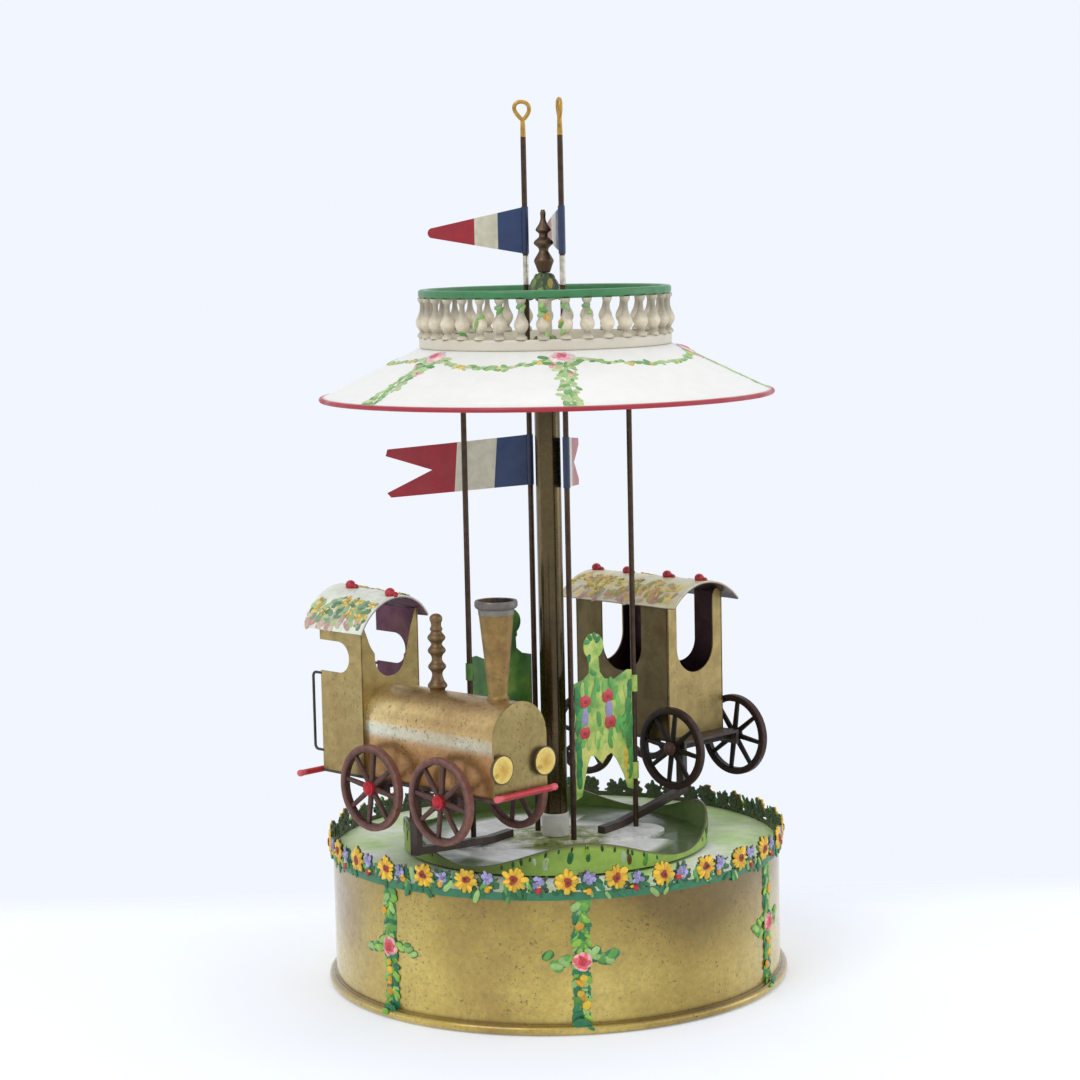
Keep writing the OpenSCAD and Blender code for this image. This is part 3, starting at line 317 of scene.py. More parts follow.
def petal_turns(n, petals, spin):
    """Even turns of the petals of n flowers, each flower spun by a random angle up to a limit."""
    return (np.linspace(0, 2 * np.pi, petals, endpoint=False)[None] + rng.uniform(0, spin, (n, 1))).ravel()


def blossoms(spots, petals, reach, size, tint, eye, eye_r, uneven=0.12):
    """Flowers: a ring of petal dabs round each spot, each a little off in place, size and shade, and an eye of dabs."""
    n = len(spots[0])
    m, k = n * petals, n * 3
    turn = petal_turns(n, petals, 1) + rng.normal(0, uneven, m)
    vary = lambda *shape: rng.uniform(1 - 2 * uneven, 1 + uneven, shape)
    ring = dabs(offset(repeated(spots, petals), turn, reach * rng.uniform(1 - uneven, 1 + uneven, m)),
                turn + rng.normal(0, uneven, m), np.asarray(size) * vary(m, 3), np.asarray(tint) * vary(m, 1))
    eyes = dabs(offset(repeated(spots, 3), rng.uniform(0, 6.3, k), eye_r * rng.uniform(0.1, 0.45, k)),
                rng.uniform(0, 3, k), eye_r * np.array([0.8, 0.6, 0.6]),
                np.asarray(eye) * rng.uniform(0.75, 1.25, (k, 1)))
    return joined(ring, eyes)


def roses(spots, radius, paints=(ROSE_PALE, ROSE, ROSE_DEEP)):
    """Roses: three rings of overlapping petal dabs that get smaller and deeper in colour towards the middle."""
    n = len(spots[0])
    rings = (7, 0.6, 0.5, 0.1), (6, 0.45, 0.46, 0.3), (4, 0.22, 0.36, 0.5)
    parts = []
    for paint, (count, reach, size, lift) in zip(paints, rings):
        m = n * count
        turn = petal_turns(n, count, 2)
        place, along, cross, out = repeated(spots, count)
        petals = offset((place + out * lift, along, cross, out), turn, reach * radius * rng.uniform(0.7, 1.15, m))
        parts.append(dabs(petals, turn + rng.normal(1.2, 0.35, m),
                          np.array([size * radius, size * radius * 0.65, 0.6]) * rng.uniform(0.8, 1.15, (m, 3)),
                          paint * rng.uniform(0.8, 1.15, (m, 1))))
    return joined(*parts)


def mixed_tints(n, *colours):
    """A random pick of the paints for each dab, each a little lighter or darker."""
    pick = np.array(colours)[rng.integers(0, len(colours), n)]
    return pick * rng.uniform(0.78, 1.15, (n, 1))


def brushed(spots, turn, size, *colours):
    """Dabs in a random mix of paints."""
    return dabs(spots, turn, size, mixed_tints(len(spots[0]), *colours))


# Materials

def set_inputs(node, values):
    """Sets the inputs of a node by their names."""
    for name, value in values.items():
        node.inputs[name].default_value = value


class Paintbox:
    """Small helpers that wire one material's nodes."""

    def __init__(self, name, rough=0.5, metal=0.0, coat=0.0):
        self.material = bpy.data.materials.new(name)
        self.material.use_nodes = True
        self.nodes, self.links = self.material.node_tree.nodes, self.material.node_tree.links
        self.shader = self.nodes["Principled BSDF"]
        set_inputs(self.shader, {"Roughness": rough, "Metallic": metal, "Coat Weight": coat, "Coat Roughness": 0.12})
        self.coords = self.nodes.new("ShaderNodeTexCoord").outputs["Object"]

    def noise(self, scale, detail=5.0, rough=0.6, stretch=None):
        """Fractal noise in object space, stretched along an axis if asked."""
        node = self.nodes.new("ShaderNodeTexNoise")
        set_inputs(node, {"Scale": scale, "Detail": detail, "Roughness": rough})
        coords = self.coords
        if stretch:
            mapping = self.nodes.new("ShaderNodeMapping")
            mapping.inputs["Scale"].default_value = stretch
            self.links.new(coords, mapping.inputs["Vector"])
            coords = mapping.outputs["Vector"]
        self.links.new(coords, node.inputs["Vector"])
        return node.outputs["Fac"]

    def ramp(self, fac, *stops):
        """Colours at places along a value."""
        node = self.nodes.new("ShaderNodeValToRGB")
        band = node.color_ramp.elements
        while len(band) < len(stops):
            band.new(0.5)
        for element, (at, colour) in zip(band, stops):
            element.position = at
            element.color = (*(colour if np.ndim(colour) else (colour,) * 3), 1)
        self.links.new(fac, node.inputs["Fac"])
        return node.outputs["Color"]

    def mix(self, fac, a, b, how="MIX"):
        """Two colours mixed by a value or a fixed share."""
        node = self.nodes.new("ShaderNodeMix")
        node.data_type, node.blend_type = "RGBA", how
        for socket, value in ((node.inputs[0], fac), (node.inputs[6], a), (node.inputs[7], b)):
            if isinstance(value, bpy.types.NodeSocket):
                self.links.new(value, socket)
            else:
                socket.default_value = value if np.ndim(value) == 0 else (*value, 1)
        return node.outputs[2]

    def tint(self):
        """The colour that each point of the piece carries."""
        node = self.nodes.new("ShaderNodeAttribute")
        node.attribute_name = "tint"
        return node.outputs["Color"]

    def bump(self, height, strength, reach=0.0004):
        """Small relief from a value."""
        node = self.nodes.new("ShaderNodeBump")
        set_inputs(node, {"Strength": strength, "Distance": reach})
        self.links.new(height, node.inputs["Height"])
        self.links.new(node.outputs["Normal"], self.shader.inputs["Normal"])

    def finish(self, colour, rough=None):
        """Joins the colour and, if given, the roughness to the shader."""
        self.links.new(colour, self.shader.inputs["Base Color"])
        if rough is not None:
            self.links.new(rough, self.shader.inputs["Roughness"])
        return self.material


def tones(*rows):
    """Ramp stops from rows of place, red, green and blue."""
    return [(at, srgb(*paint)) for at, *paint in rows]


def aged(box, colour, stain, speck):
    """Lays brown stains and clusters of fine dark specks over a colour."""
    stains = box.ramp(box.noise(70, 8, 0.7), (0.52, 0.0), (0.74, stain))
    colour = box.mix(stains, colour, srgb(112, 80, 44))
    cluster = box.ramp(box.noise(55, 4), (0.38, 0.0), (0.6, 1.0))
    specks = box.ramp(box.noise(950, 4, 0.6), (0.58, 0.0), (0.68, speck))
    return box.mix(box.mix(1.0, specks, cluster, "MULTIPLY"), colour, srgb(58, 46, 30))


def brass_finish(name, paints, rough=(0.3, 0.5), metal=0.85, stain=0.25, relief=0.1, coat=0.0, shaded=False):
    """Aged brass: broad soft clouds of three tones and a fine grain, stained and specked, with patchy gloss."""
    box = Paintbox(name, metal=metal, coat=coat)
    clouds = box.ramp(box.noise(13, 5, 0.55), *zip((0.34, 0.5, 0.66), [srgb(*paint) for paint in paints]))
    grain = box.ramp(box.noise(520, 6, 0.72), (0.32, 0.82), (0.64, 1.1))
    colour = aged(box, box.mix(1.0, clouds, grain, "MULTIPLY"), stain, 0.8)
    # Where asked, each point's tint multiplies the colour: painted shade on the drum, painted highlights and
    # reflections on the boiler.
    if shaded:
        colour = box.mix(1.0, colour, box.tint(), "MULTIPLY")
    gloss = box.ramp(box.noise(200, 6, 0.65), (0.35, rough[0]), (0.65, rough[1]))
    box.bump(box.noise(420, 6, 0.6), relief)
    return box.finish(colour, gloss)


def dabbed_paint(name, rough=0.42, uneven=0.16, scale=420, relief=0.25, metal=0.0, stain=0.0, coat=0.0):
    """Hand-brushed paint: each point's own colour with uneven cover and brush relief, stained if asked."""
    box = Paintbox(name, rough, metal, coat)
    cover = box.ramp(box.noise(scale), (0.3, 1 - 2.2 * uneven), (0.62, 1.0))
    colour = box.mix(1.0, box.tint(), cover, "MULTIPLY")
    if stain:
        colour = aged(box, colour, stain, 0.6)
    gloss = box.ramp(box.noise(scale * 0.6), (0.35, rough - 0.1), (0.65, rough + 0.14))
    box.bump(box.noise(scale * 1.6, 4), relief)
    return box.finish(colour, gloss)


def two_tone_paint(name, stops, scale, rough=0.5):
    """Brushed paint in several tones that run into each other."""
    box = Paintbox(name, rough)
    colour = box.ramp(box.noise(scale, 6, 0.62), *stops)
    fine = box.ramp(box.noise(scale * 6, 4), (0.3, 0.84), (0.6, 1.0))
    box.bump(box.noise(scale * 8, 4), 0.2)
    return box.finish(box.mix(1.0, colour, fine, "MULTIPLY"))


drum_brass = brass_finish("drum_brass", ((160, 132, 62), (198, 173, 86), (218, 195, 110)), coat=0.9, shaded=True)
body_brass = brass_finish("body_brass", ((140, 122, 76), (164, 146, 96), (178, 160, 110)), (0.36, 0.55))
boiler_brass = brass_finish("boiler_brass", ((160, 128, 80), (194, 166, 112), (214, 192, 138)), (0.3, 0.44), 0.75, 0.5,
                            0.05, 0.15, True)
column_brass = brass_finish("column_brass", ((60, 48, 27), (82, 68, 39), (106, 90, 54)), (0.2, 0.32), 0.9, 0.15, 0.03,
                            0.3)
dome_brass = brass_finish("dome_brass", ((92, 70, 46), (114, 90, 60), (136, 110, 76)), (0.34, 0.5), 0.6)
dark_metal = brass_finish("dark_metal", ((56, 42, 32), (80, 62, 48), (104, 84, 64)), (0.3, 0.45), 0.7)
relief_paint = dabbed_paint("relief_paint", 0.38, 0.1, 600, 0.3)
tin_paint = dabbed_paint("tin_paint", 0.46, 0.1, 260, 0.15, coat=0.25)
canopy_paint = dabbed_paint("canopy_paint", 0.4, 0.02, 160, 0.04)
wheel_paint = dabbed_paint("wheel_paint", 0.44, 0.2, 500, 0.25)
set_inputs(wheel_paint.node_tree.nodes["Principled BSDF"], {"Specular IOR Level": 0.25})
rod_metal = dabbed_paint("rod_metal", 0.36, 0.22, 420, 0.15, 0.7)
wall_brass_paint = dabbed_paint("wall_brass_paint", 0.44, 0.12, 240, 0.12, 0.6, 0.45)
chimney_paint = dabbed_paint("chimney_paint", 0.4, 0.16, 240, 0.12, 0.6, 0.95)
deck_paint = two_tone_paint("deck_paint", tones((0.3, 176, 212, 122), (0.44, 210, 231, 170), (0.56, 234, 240, 216),
                                                (0.68, 249, 246, 246)), 34)
figure_paint = two_tone_paint("figure_paint", tones((0.36, 100, 158, 72), (0.47, 166, 200, 92),
                                                    (0.6, 226, 226, 118)), 70, 0.4)
# A darker copy of the figure paint for the rear panel: painted shade.
shaded_figure_paint = two_tone_paint("shaded_figure_paint", tones((0.36, 44, 84, 38), (0.5, 74, 120, 50),
                                                                  (0.64, 120, 150, 66)), 70, 0.4)
arm_paint = two_tone_paint("arm_paint", tones((0.35, 46, 36, 32), (0.65, 78, 60, 50)), 200)


def hub_finish():
    """White ends that run into an olive mottled middle, by the plan distance from the column."""
    box = Paintbox("hub_finish", 0.5)
    flat, length = [box.nodes.new("ShaderNodeVectorMath") for _ in range(2)]
    flat.operation, length.operation = "MULTIPLY", "LENGTH"
    set_inputs(flat, {1: (1, 1, 0)})
    box.links.new(box.coords, flat.inputs[0])
    box.links.new(flat.outputs["Vector"], length.inputs[0])
    far = box.nodes.new("ShaderNodeMapRange")
    set_inputs(far, {"From Min": 0.016, "From Max": 0.021})
    box.links.new(length.outputs["Value"], far.inputs["Value"])
    olive = box.ramp(box.noise(170, 7, 0.7), *tones((0.36, 76, 88, 40), (0.5, 150, 158, 84), (0.62, 222, 220, 206)))
    white = box.ramp(box.noise(150, 7, 0.7), *tones((0.32, 150, 156, 146), (0.46, 226, 226, 220), (0.6, 244, 243, 238)))
    box.bump(box.noise(500), 0.15)
    return box.finish(box.mix(far.outputs["Result"], olive, white))


def wood_finish():
    """Dark turned wood with rings along its length."""
    box = Paintbox("knob_wood", 0.42)
    grain = box.noise(160, 6, 0.6, (1, 0.12, 1))
    box.bump(grain, 0.1)
    return box.finish(box.ramp(grain, *tones((0.35, 52, 32, 20), (0.65, 98, 62, 38))))


# Making pieces

SHARP = math.radians(38)


def make(name, shell, material, slot, *nodes, body="carousel"):
    """Puts a shell into a mesh with its tints, closes its poles, points its faces outwards and rides it on a body."""
    points, faces, tints = shell
    faces = faces if isinstance(faces, list) else [faces]
    mesh = bpy.data.meshes.new(name)
    mesh.from_pydata((points * MM).tolist(), [], [f for a in faces for f in a.tolist()])
    layer = mesh.attributes.new("tint", "FLOAT_COLOR", "POINT")
    layer.data.foreach_set("color", np.c_[tints, np.ones(len(tints))].astype(np.float32).ravel())
    work = bmesh.new()
    work.from_mesh(mesh)
    bmesh.ops.remove_doubles(work, verts=work.verts, dist=2e-6)
    bmesh.ops.dissolve_degenerate(work, edges=work.edges, dist=1e-7)
    bmesh.ops.recalc_face_normals(work, faces=work.faces)
    work.to_mesh(mesh)
    work.free()
    mesh.shade_smooth()
    mesh.set_sharp_from_angle(angle=SHARP)
    mesh.materials.append(material)
    piece = bpy.data.objects.new(name, mesh)
    scene.collection.objects.link(piece)
    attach(piece, body)
    if nodes:
        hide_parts(*nodes)


def repaint(material, *nodes):
    """Gives carried-over solids a material."""
    for node in nodes:
        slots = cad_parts[node].data.materials
        slots.clear()
        slots.append(material)


# Base

def drum_shell():
    """The drum wall and its rolled bead as one closed profile turned about the column, with painted shade towards the
    top and in the crease over the bead, and darker towards the right front.
    """
    bead = arc(DRUM_R - SHEET_T + BEAD_R, BEAD_R, BEAD_R, 118, -180, 22)
    crease = bead[0, 1] + 0.2
    wall_z = np.r_[np.linspace(DRUM_H, crease + 3, 10), crease + [2, 1.2, 0.6, 0]]
    wall = np.c_[np.full(len(wall_z), DRUM_R), wall_z]
    inner = np.c_[np.full(2, DRUM_R - SHEET_T), [BEAD_R + 0.2, DRUM_H]]
    points, faces, _ = lathe(np.vstack([wall, bead, inner]), CREAM, 240, loop=True)
    # Painted shade: darker towards the top and in the crease above the bead; the wall is also darker towards the right
    # front.
    high = np.clip((points[:, 2] - 16) / 30, 0, 1)
    darker_right_front = np.exp(-((points[:, 0] - 47) / 27) ** 2) * (points[:, 1] < 0)
    crease_shade = np.exp(-((points[:, 2] - crease) / 0.9) ** 2)
    shade = np.clip(1.06 - high * (0.48 + 0.2 * darker_right_front) - 0.42 * darker_right_front, 0.24, 1.1) * (1 - 0.5 * crease_shade)
    return points, faces, np.stack([shade, shade ** 1.14, shade ** 1.75], 1)


DAISIES = 30
DAISY_STEP = 360 / DAISIES
DAISY_AT = -87.9 + np.arange(DAISIES) * DAISY_STEP
LILAC_AT = DAISY_AT + 0.43 * DAISY_STEP
BACKING = 0.7


def fence_lift(at):
    """How much higher the hand-set sprays stand, by their angle: most at the front, least at the back."""
    return -1.4 * np.sin(np.radians(at))


def backed(shell, tint):
    """A shell with a copy of it set a little towards the column in a plain tint."""
    points, faces, tints = shell
    inward = 1 - BACKING / DRUM_R
    return joined(shell, (points * [inward, inward, 1], faces, 0 * tints + tint))


def fence_shell():
    """A low band round the deck with a lobed spray of leaves at each flower, dark inside and brighter outside."""
    band = lathe(square_ring(DRUM_R + 0.05, DRUM_R + SHEET_T, 45.6, 48.2),
                 np.array([FENCE_GREEN, TEAL * 0.9, TEAL * 0.9, FENCE_GREEN * 0.9]), 208, loop=True)
    at = np.r_[DAISY_AT, LILAC_AT]
    n = len(at)
    parts = []
    for lift, tone in ((0.1, FENCE_GREEN), (0.45, LEAF_DARK)):
        spots = drum_spots(at + rng.normal(0, 0.2, n), 49.9 + 0.7 * fence_lift(at) + rng.normal(0, 0.2, n), lift)
        parts += [dabs(spots, np.zeros(n), [2.0, 2.7, 0.2], tone * 0.9),
                  blossoms(spots, 10, 2.7, [1.5, 0.8, 0.25], tone, tone, 0.4, 0.24)]
    return joined(band, *parts)


def fence_flowers():
    """Thick painted daisies, lilac blossoms, red buds and leaves on the outside of the fence."""
    n, leaves_each = DAISIES, 11
    scatter = lambda at, wander, z, follow, waver, lift: drum_spots(
        at + rng.normal(0, wander, n), z + follow * fence_lift(at) + rng.normal(0, waver, n), lift)
    daisies = scatter(DAISY_AT, 0.2, 51, 1, 0.3, 1.1)
    lilac = scatter(LILAC_AT, 0.3, 51.1, 1, 0.4, 1.0)
    buds = scatter(LILAC_AT, 0.5, 48.3, 0.6, 0.4, 1.0)
    m = n * leaves_each
    leaves = drum_spots(np.repeat(DAISY_AT, leaves_each) + rng.uniform(0, DAISY_STEP, m),
                        rng.uniform(45.9, 52.6, m), 0.8)
    long = rng.uniform(1.3, 2.6, m)
    flowers = joined(dabs(daisies, np.zeros(n), [3.0, 3.0, 0.5], YELLOW_DEEP),
                     blossoms(daisies, 14, 2.75, [1.6, 0.85, 0.6], YELLOW, DAISY_EYE, 1.9, 0.16),
                     blossoms(lilac, 7, 1.3, [1.2, 0.9, 0.55], LILAC, LILAC * 0.85, 1.1, 0.22))
    return joined(
        backed(flowers, FENCE_GREEN),
        brushed(leaves, rng.normal(np.pi / 2, 0.6, m), sizes(long, long * 0.42, 0.4),
                LEAF_DARK, TEAL, LEAF, LEAF_DARK, LEAF_PALE),
        brushed(buds, rng.uniform(0, 3, n), [1.2, 1.0, 0.8], RED, RED, YELLOW_DEEP),
        dabs(offset(buds, rng.uniform(0, 3, n), np.full(n, 1.3)), np.zeros(n), [0.8, 0.5, 0.5], YELLOW))


VINES = np.array([-135.3, -84.6, -24.9, 37.5, 99.9, 162.3])
ROSE_Z = 24.8


def vine_spots(angle, z, lift):
    """Spots on the drum that step out over the rolled bead near the floor."""
    z = np.asarray(z, float)
    over = np.where(z < 3.2, 1.0 + np.sqrt(np.clip(BEAD_R ** 2 - (z - BEAD_R) ** 2, 0, None)), 0)
    place, along, cross, out = drum_spots(angle, z, lift)
    return place + out * over[:, None], along, cross, out


def drum_vines():
    """Six painted vines down the drum: broad dark strokes, leaves over them, gold blobs and a rose with leafy arms."""
    vines, rows, pairs = len(VINES), 24, 30
    beside = lambda each, reach: np.repeat(VINES, each) + np.degrees(reach / DRUM_R)
    n = vines * rows
    deep_z = np.tile(np.linspace(44.2, 3.0, rows), vines)
    deep = brushed(vine_spots(beside(rows, rng.normal(0, 0.5, n)), deep_z, 0.05), rng.normal(np.pi / 2, 0.35, n),
                   sizes(rng.uniform(2.0, 2.8, n), rng.uniform(2.5, 3.3, n), 0.35), LEAF_DARK * 1.2, TEAL, LEAF * 0.9)
    n = vines * pairs * 2
    z = np.clip(np.tile(np.repeat(np.linspace(44, 2.4, pairs), 2), vines) + rng.normal(0, 0.5, n), 2.3, 44.3)
    side = np.tile([-1.0, 1.0], n // 2)
    angle = beside(pairs * 2, side * rng.uniform(0.4, 2.5, n))
    long = rng.uniform(1.1, 2.1, n)
    leaves = brushed(vine_spots(angle, z, 0.35), np.pi / 2 + side * rng.normal(0.7, 0.4, n),
                     sizes(long, long * rng.uniform(0.4, 0.75, n), 0.45),
                     LEAF, LEAF_PALE, srgb(150, 196, 70), TEAL, srgb(128, 184, 62))
    gold_z = np.array([36.5, 18.6, 17.2, 13.6, 12.4, 9.6])
    k = vines * len(gold_z)
    gold_z = np.tile(gold_z, vines) + rng.normal(0, 0.5, k)
    gold = drum_spots(beside(k // vines, rng.normal(0, 0.7, k)), gold_z, 0.7)
    reach = np.tile(np.r_[-10.4, -8.8, -7.0, -5.4, -4.2, -6.4, 5.4, 7.0, 8.8, 10.4, 4.2, 6.4], vines)
    n = len(reach)
    arms = drum_spots(beside(n // vines, reach + rng.normal(0, 0.4, n)),
                      ROSE_Z + 0.6 + rng.normal(0, 1.2, n) - 0.12 * np.abs(reach), 0.2)
    long = rng.uniform(1.4, 2.5, n)
    under = (arms[0] - arms[3] * 0.15, *arms[1:])
    return joined(
        deep, leaves,
        brushed(under, rng.normal(0, 0.4, n), sizes(long * 1.1, long * 0.75, 0.35), LEAF * 0.9, TEAL, LEAF_DARK * 1.2),
        brushed(arms, rng.normal(0.3, 0.6, n), sizes(long, long * 0.55, 0.6), LEAF, LEAF_PALE, srgb(150, 196, 80)),
        brushed(gold, rng.uniform(0, 3, k), sizes(rng.uniform(1.0, 1.9, k), rng.uniform(0.8, 1.4, k), 0.6),
                YELLOW, YELLOW_DEEP),
        roses(drum_spots(VINES, ROSE_Z, 0.6), 3.8))


make("drum", drum_shell(), drum_brass, "aged_brass", "drum_wall", body="base")
make("flower_fence_leaves", fence_shell(), tin_paint, "deep_green_paint", "flower_fence", body="base")
make("fence_flowers", fence_flowers(), relief_paint, "deep_green_paint", body="base")
make("drum_vines", drum_vines(), relief_paint, "green_paint", body="base")
repaint(drum_brass, "floor_plate", "spindle_bush", "step_cup", "crank_bush", "crank_bracket", "crown_wheel",
        "drive_pinion")
repaint(deck_paint, "deck_plate")
repaint(dark_metal, "crank_handle", "spindle")
repaint(wood_finish(), "crank_knob")

# Turntable and column


def pan_rim(degrees):
    """The height of the pan's rim: a cosine with four waves round the pan."""
    return 5.6 + 4.4 * np.cos(np.radians(4 * (degrees - 10)))


def pan_shell():
    """The pan as one closed section carried round under its wavy rim: outside, inside, then floor and underside."""
    turn = np.linspace(0, 360, 288, endpoint=False)[:, None]
    a = np.radians(turn)
    rim = pan_rim(turn) + SHEET_T
    share = np.linspace(0, 1, 7)[None]
    outer_z, inner_z = rim * share, SHEET_T + (rim - SHEET_T) * share[:, ::-1]
    floor_r = np.array([[53, 44, 41.5, 39, 30, 22, 18, 2.55, 2.55, 26, 53]]) + 0 * turn
    floor_z = np.array([[1, 1, 1, 1, 1, 1, 1, 1, 0, 0, 0]]) * SHEET_T + 0 * turn
    r = np.concatenate([PAN_R + 0 * outer_z, PAN_R - SHEET_T + 0 * inner_z, floor_r], 1)
    z = np.concatenate([outer_z, inner_z, floor_z], 1) + PAN_Z
    points = np.stack([r * np.cos(a), r * np.sin(a), z], -1)
    dark, lit, shadow_green = srgb(76, 96, 38), srgb(166, 200, 92), srgb(70, 76, 32)
    section = bands((lit, 6), (srgb(112, 104, 72), 2), (srgb(96, 122, 48), 6), (dark, 2), (srgb(150, 164, 120), 1),
                    (srgb(246, 245, 240), 3), (srgb(128, 140, 74), 3), (dark, 2))
    tint = np.tile(section, (len(turn), 1, 1))
    # Painted shadow: the outer wall is darkened under the engine.
    engine_shadow = 0.8 * np.clip(1.2 - np.abs(turn - 232) / 30, 0, 1)[..., None]
    tint[:, :6] = lit * (1 - engine_shadow) + shadow_green * engine_shadow
    shaded = (17 * points[..., 0] + 15 * points[..., 1] > 577) & (r < 53) & (z > PAN_Z)
    return surface(points, np.where(shaded[..., None], dark, tint), True, True)


def pan_dots():
    """Dark leaves hung under the pan's wavy rim, and upright strokes of green, brown and white below them."""
    n = 84
    a = np.r_[np.linspace(0, 360, n, endpoint=False) + rng.normal(0, 1.2, n), rng.uniform(0, 360, n)]
    high = pan_rim(a) + np.r_[np.full(n, -0.9), rng.uniform(-4.5, -2, n)]
    keep = high > 2.2
    long = np.r_[rng.uniform(0.8, 1.5, n), rng.uniform(1.2, 2.6, n)]
    tint = np.vstack([mixed_tints(n, srgb(70, 62, 30), LEAF_DARK, srgb(60, 80, 30)),
                      mixed_tints(n, LEAF_DARK, LEAF, srgb(196, 208, 180), srgb(96, 66, 34), srgb(150, 186, 60))])
    spots = round_spots(a[keep], PAN_Z + high[keep], PAN_R - 0.05)
    return dabs(spots, rng.normal(np.pi / 2, 0.2, keep.sum()), sizes(long, long * 0.5, 0.3)[keep], tint[keep])


make("wavy_pan", pan_shell(), tin_paint, "deep_green_paint", "turntable_pan")
make("pan_rim_dots", pan_dots(), relief_paint, "deep_green_paint")
repaint(hub_finish(), "hub_plate")
make("column_foot", lathe(rounded_ring(2.55, 4.9, HUB_TOP, COLUMN_Z, 0.5), CREAM, 64, True),
     tin_paint, "cream_paint", "hub_sleeve")
make("column", lathe(rounded_ring(COLUMN_R - SHEET_T, COLUMN_R, COLUMN_Z, 224.7, 0.15), CREAM, 72, True),
     column_brass, "aged_brass", "column_tube")

# Canopy and gallery


def canopy_shell():
    """The canopy's section turned about the column: flat top, straight slope, rolled red rim."""
    top = np.array([[0, 0], [20, 0], [GALLERY_R - 1, 0], [GALLERY_R + 0.6, -0.15]]) + [0, CANOPY_TOP]
    slope = np.c_[np.linspace(GALLERY_R + 2, CANOPY_RIM_R - 1.4, 12), np.zeros(12)]
    slope[:, 1] = CANOPY_TOP + (slope[:, 0] - GALLERY_R) * SLOPE[1] / SLOPE[0]
    bead = arc(CANOPY_RIM_R, CANOPY_RIM_Z - SHEET_T / 2, CANOPY_BEAD_R, 95, -205, 18)
    under = np.c_[slope[::-1, 0] - 0.5, slope[::-1, 1] - SHEET_T - 0.1]
    flat = np.array([[GALLERY_R - 1.5, CANOPY_TOP - SHEET_T], [0, CANOPY_TOP - SHEET_T]])
    # The underside takes the white paint darkened, as painted shade.
    tint = bands((WHITE, len(top) + len(slope)), (RIM_RED, len(bead)), (WHITE * 0.82, len(under) + len(flat)))
    return lathe(np.vstack([top, slope, bead, under, flat]), tint, 240)


DROPS = np.array([-140, -84, -4, 70.7, 145.3])
SPANS = np.diff(np.r_[DROPS, 220])


def canopy_garlands():
    """Painted tails of leaves from a rose to the rim, and swags of leaves from rose to rose."""
    garlands, rows, count = len(DROPS), 18, 52
    pale = (srgb(150, 190, 112), srgb(176, 204, 140), srgb(112, 166, 96), srgb(196, 208, 150))
    share = np.tile(np.repeat(np.linspace(0.14, 0.965, rows), 3), garlands)
    side = np.tile([-1.0, 0.0, 1.0], rows * garlands)
    n = len(share)
    reach = (side * 2.0 + rng.normal(0, 0.7, n)) / (GALLERY_R + SLOPE[0] * share)
    long = rng.uniform(1.2, 2.2, n)
    tails = brushed(canopy_spots(np.repeat(DROPS, rows * 3) + np.degrees(reach), share),
                    np.pi / 2 + side * 0.7 + rng.normal(0, 0.4, n), sizes(long, long * 0.6, 0.35), *pale)
    t = np.tile(np.linspace(0.03, 0.97, count), garlands)
    n = len(t)
    dip = lambda t: 0.1 + 0.8 * t * (1 - t)
    between = lambda t, each: np.repeat(DROPS, each) + np.repeat(SPANS, each) * t
    long = rng.uniform(1.0, 1.9, n)
    swags = brushed(canopy_spots(between(t, count), dip(t) + rng.normal(0, 0.016, n)),
                    rng.normal(0, 0.55, n) + np.where(t < 0.5, -0.25, 0.25), sizes(long, long * 0.6, 0.3), *pale)
    k, m = 4 * garlands, 8 * garlands
    bits = np.tile([0.3, 0.36, 0.62, 0.84], garlands) + rng.normal(0, 0.02, k)
    gold = canopy_spots(between(bits, 4), dip(bits) + 0.01)
    fan_at, fan_share = np.array([2, 3.4, 4.8, 6.4]), np.array([0.3, 0.26, 0.2, 0.15])
    fan = canopy_spots(np.repeat(DROPS, 8) + np.degrees(np.tile(np.r_[-fan_at[::-1], fan_at], garlands) / 50),
                       np.tile(np.r_[fan_share[::-1], fan_share], garlands) + rng.normal(0, 0.02, m))
    small = canopy_spots(np.repeat(DROPS, 2) + np.tile([-3.6, 2.2], garlands), np.tile([0.27, 0.42], garlands))
    return joined(
        tails, swags,
        brushed(gold, rng.uniform(0, 3, k), sizes(rng.uniform(1.0, 2.0, k), rng.uniform(0.8, 1.3, k), 0.4),
                YELLOW, srgb(240, 206, 110)),
        brushed(fan, rng.normal(0, 0.6, m), [2.1, 1.1, 0.4], LEAF_DARK, LEAF, *pale),
        blossoms(small, 5, 1.0, [1.1, 0.8, 0.35], ROSE_PALE, ROSE, 0.7),
        roses(canopy_spots(DROPS, 0.13), 4.3, (srgb(247, 218, 218), srgb(240, 176, 182), srgb(218, 104, 122))))


BALUSTERS, BALUSTER_START = 36, -1
BALUSTER_STEP = 360 / BALUSTERS
BALUSTER_AT = np.array([0, 0.06, 0.1, 0.14, 0.2, 0.26, 0.32, 0.38, 0.45, 0.52, 0.6, 0.68, 0.8, 0.87, 0.93, 1])
BALUSTER_R = np.array([2.03, 2.03, 1.45, 1.1, 1.6, 2.15, 2.45, 2.55, 2.3, 1.8, 1.28, 1.0, 0.86, 1.05, 1.6, 1.75])
BALUSTER_RING = GALLERY_R - GALLERY_W / 2
FOOT_TOP = CANOPY_TOP + FOOT_H
RAIL_Z = FOOT_TOP + BALUSTER_H


def baluster_shell():
    """Turned balusters: one vase profile with painted shade in its grooves, set round the gallery."""
    shade = 0.62 + 0.5 * (BALUSTER_R - 1.05) / 1.5
    p, faces, tint = lathe(np.c_[BALUSTER_R, BALUSTER_AT * BALUSTER_H], BALUSTER * shade[:, None], 16)
    return joined(*[(turned(p + [BALUSTER_RING, 0, FOOT_TOP], a), faces, tint * rng.uniform(0.9, 1.1))
                    for a in np.arange(BALUSTERS) * BALUSTER_STEP + BALUSTER_START])


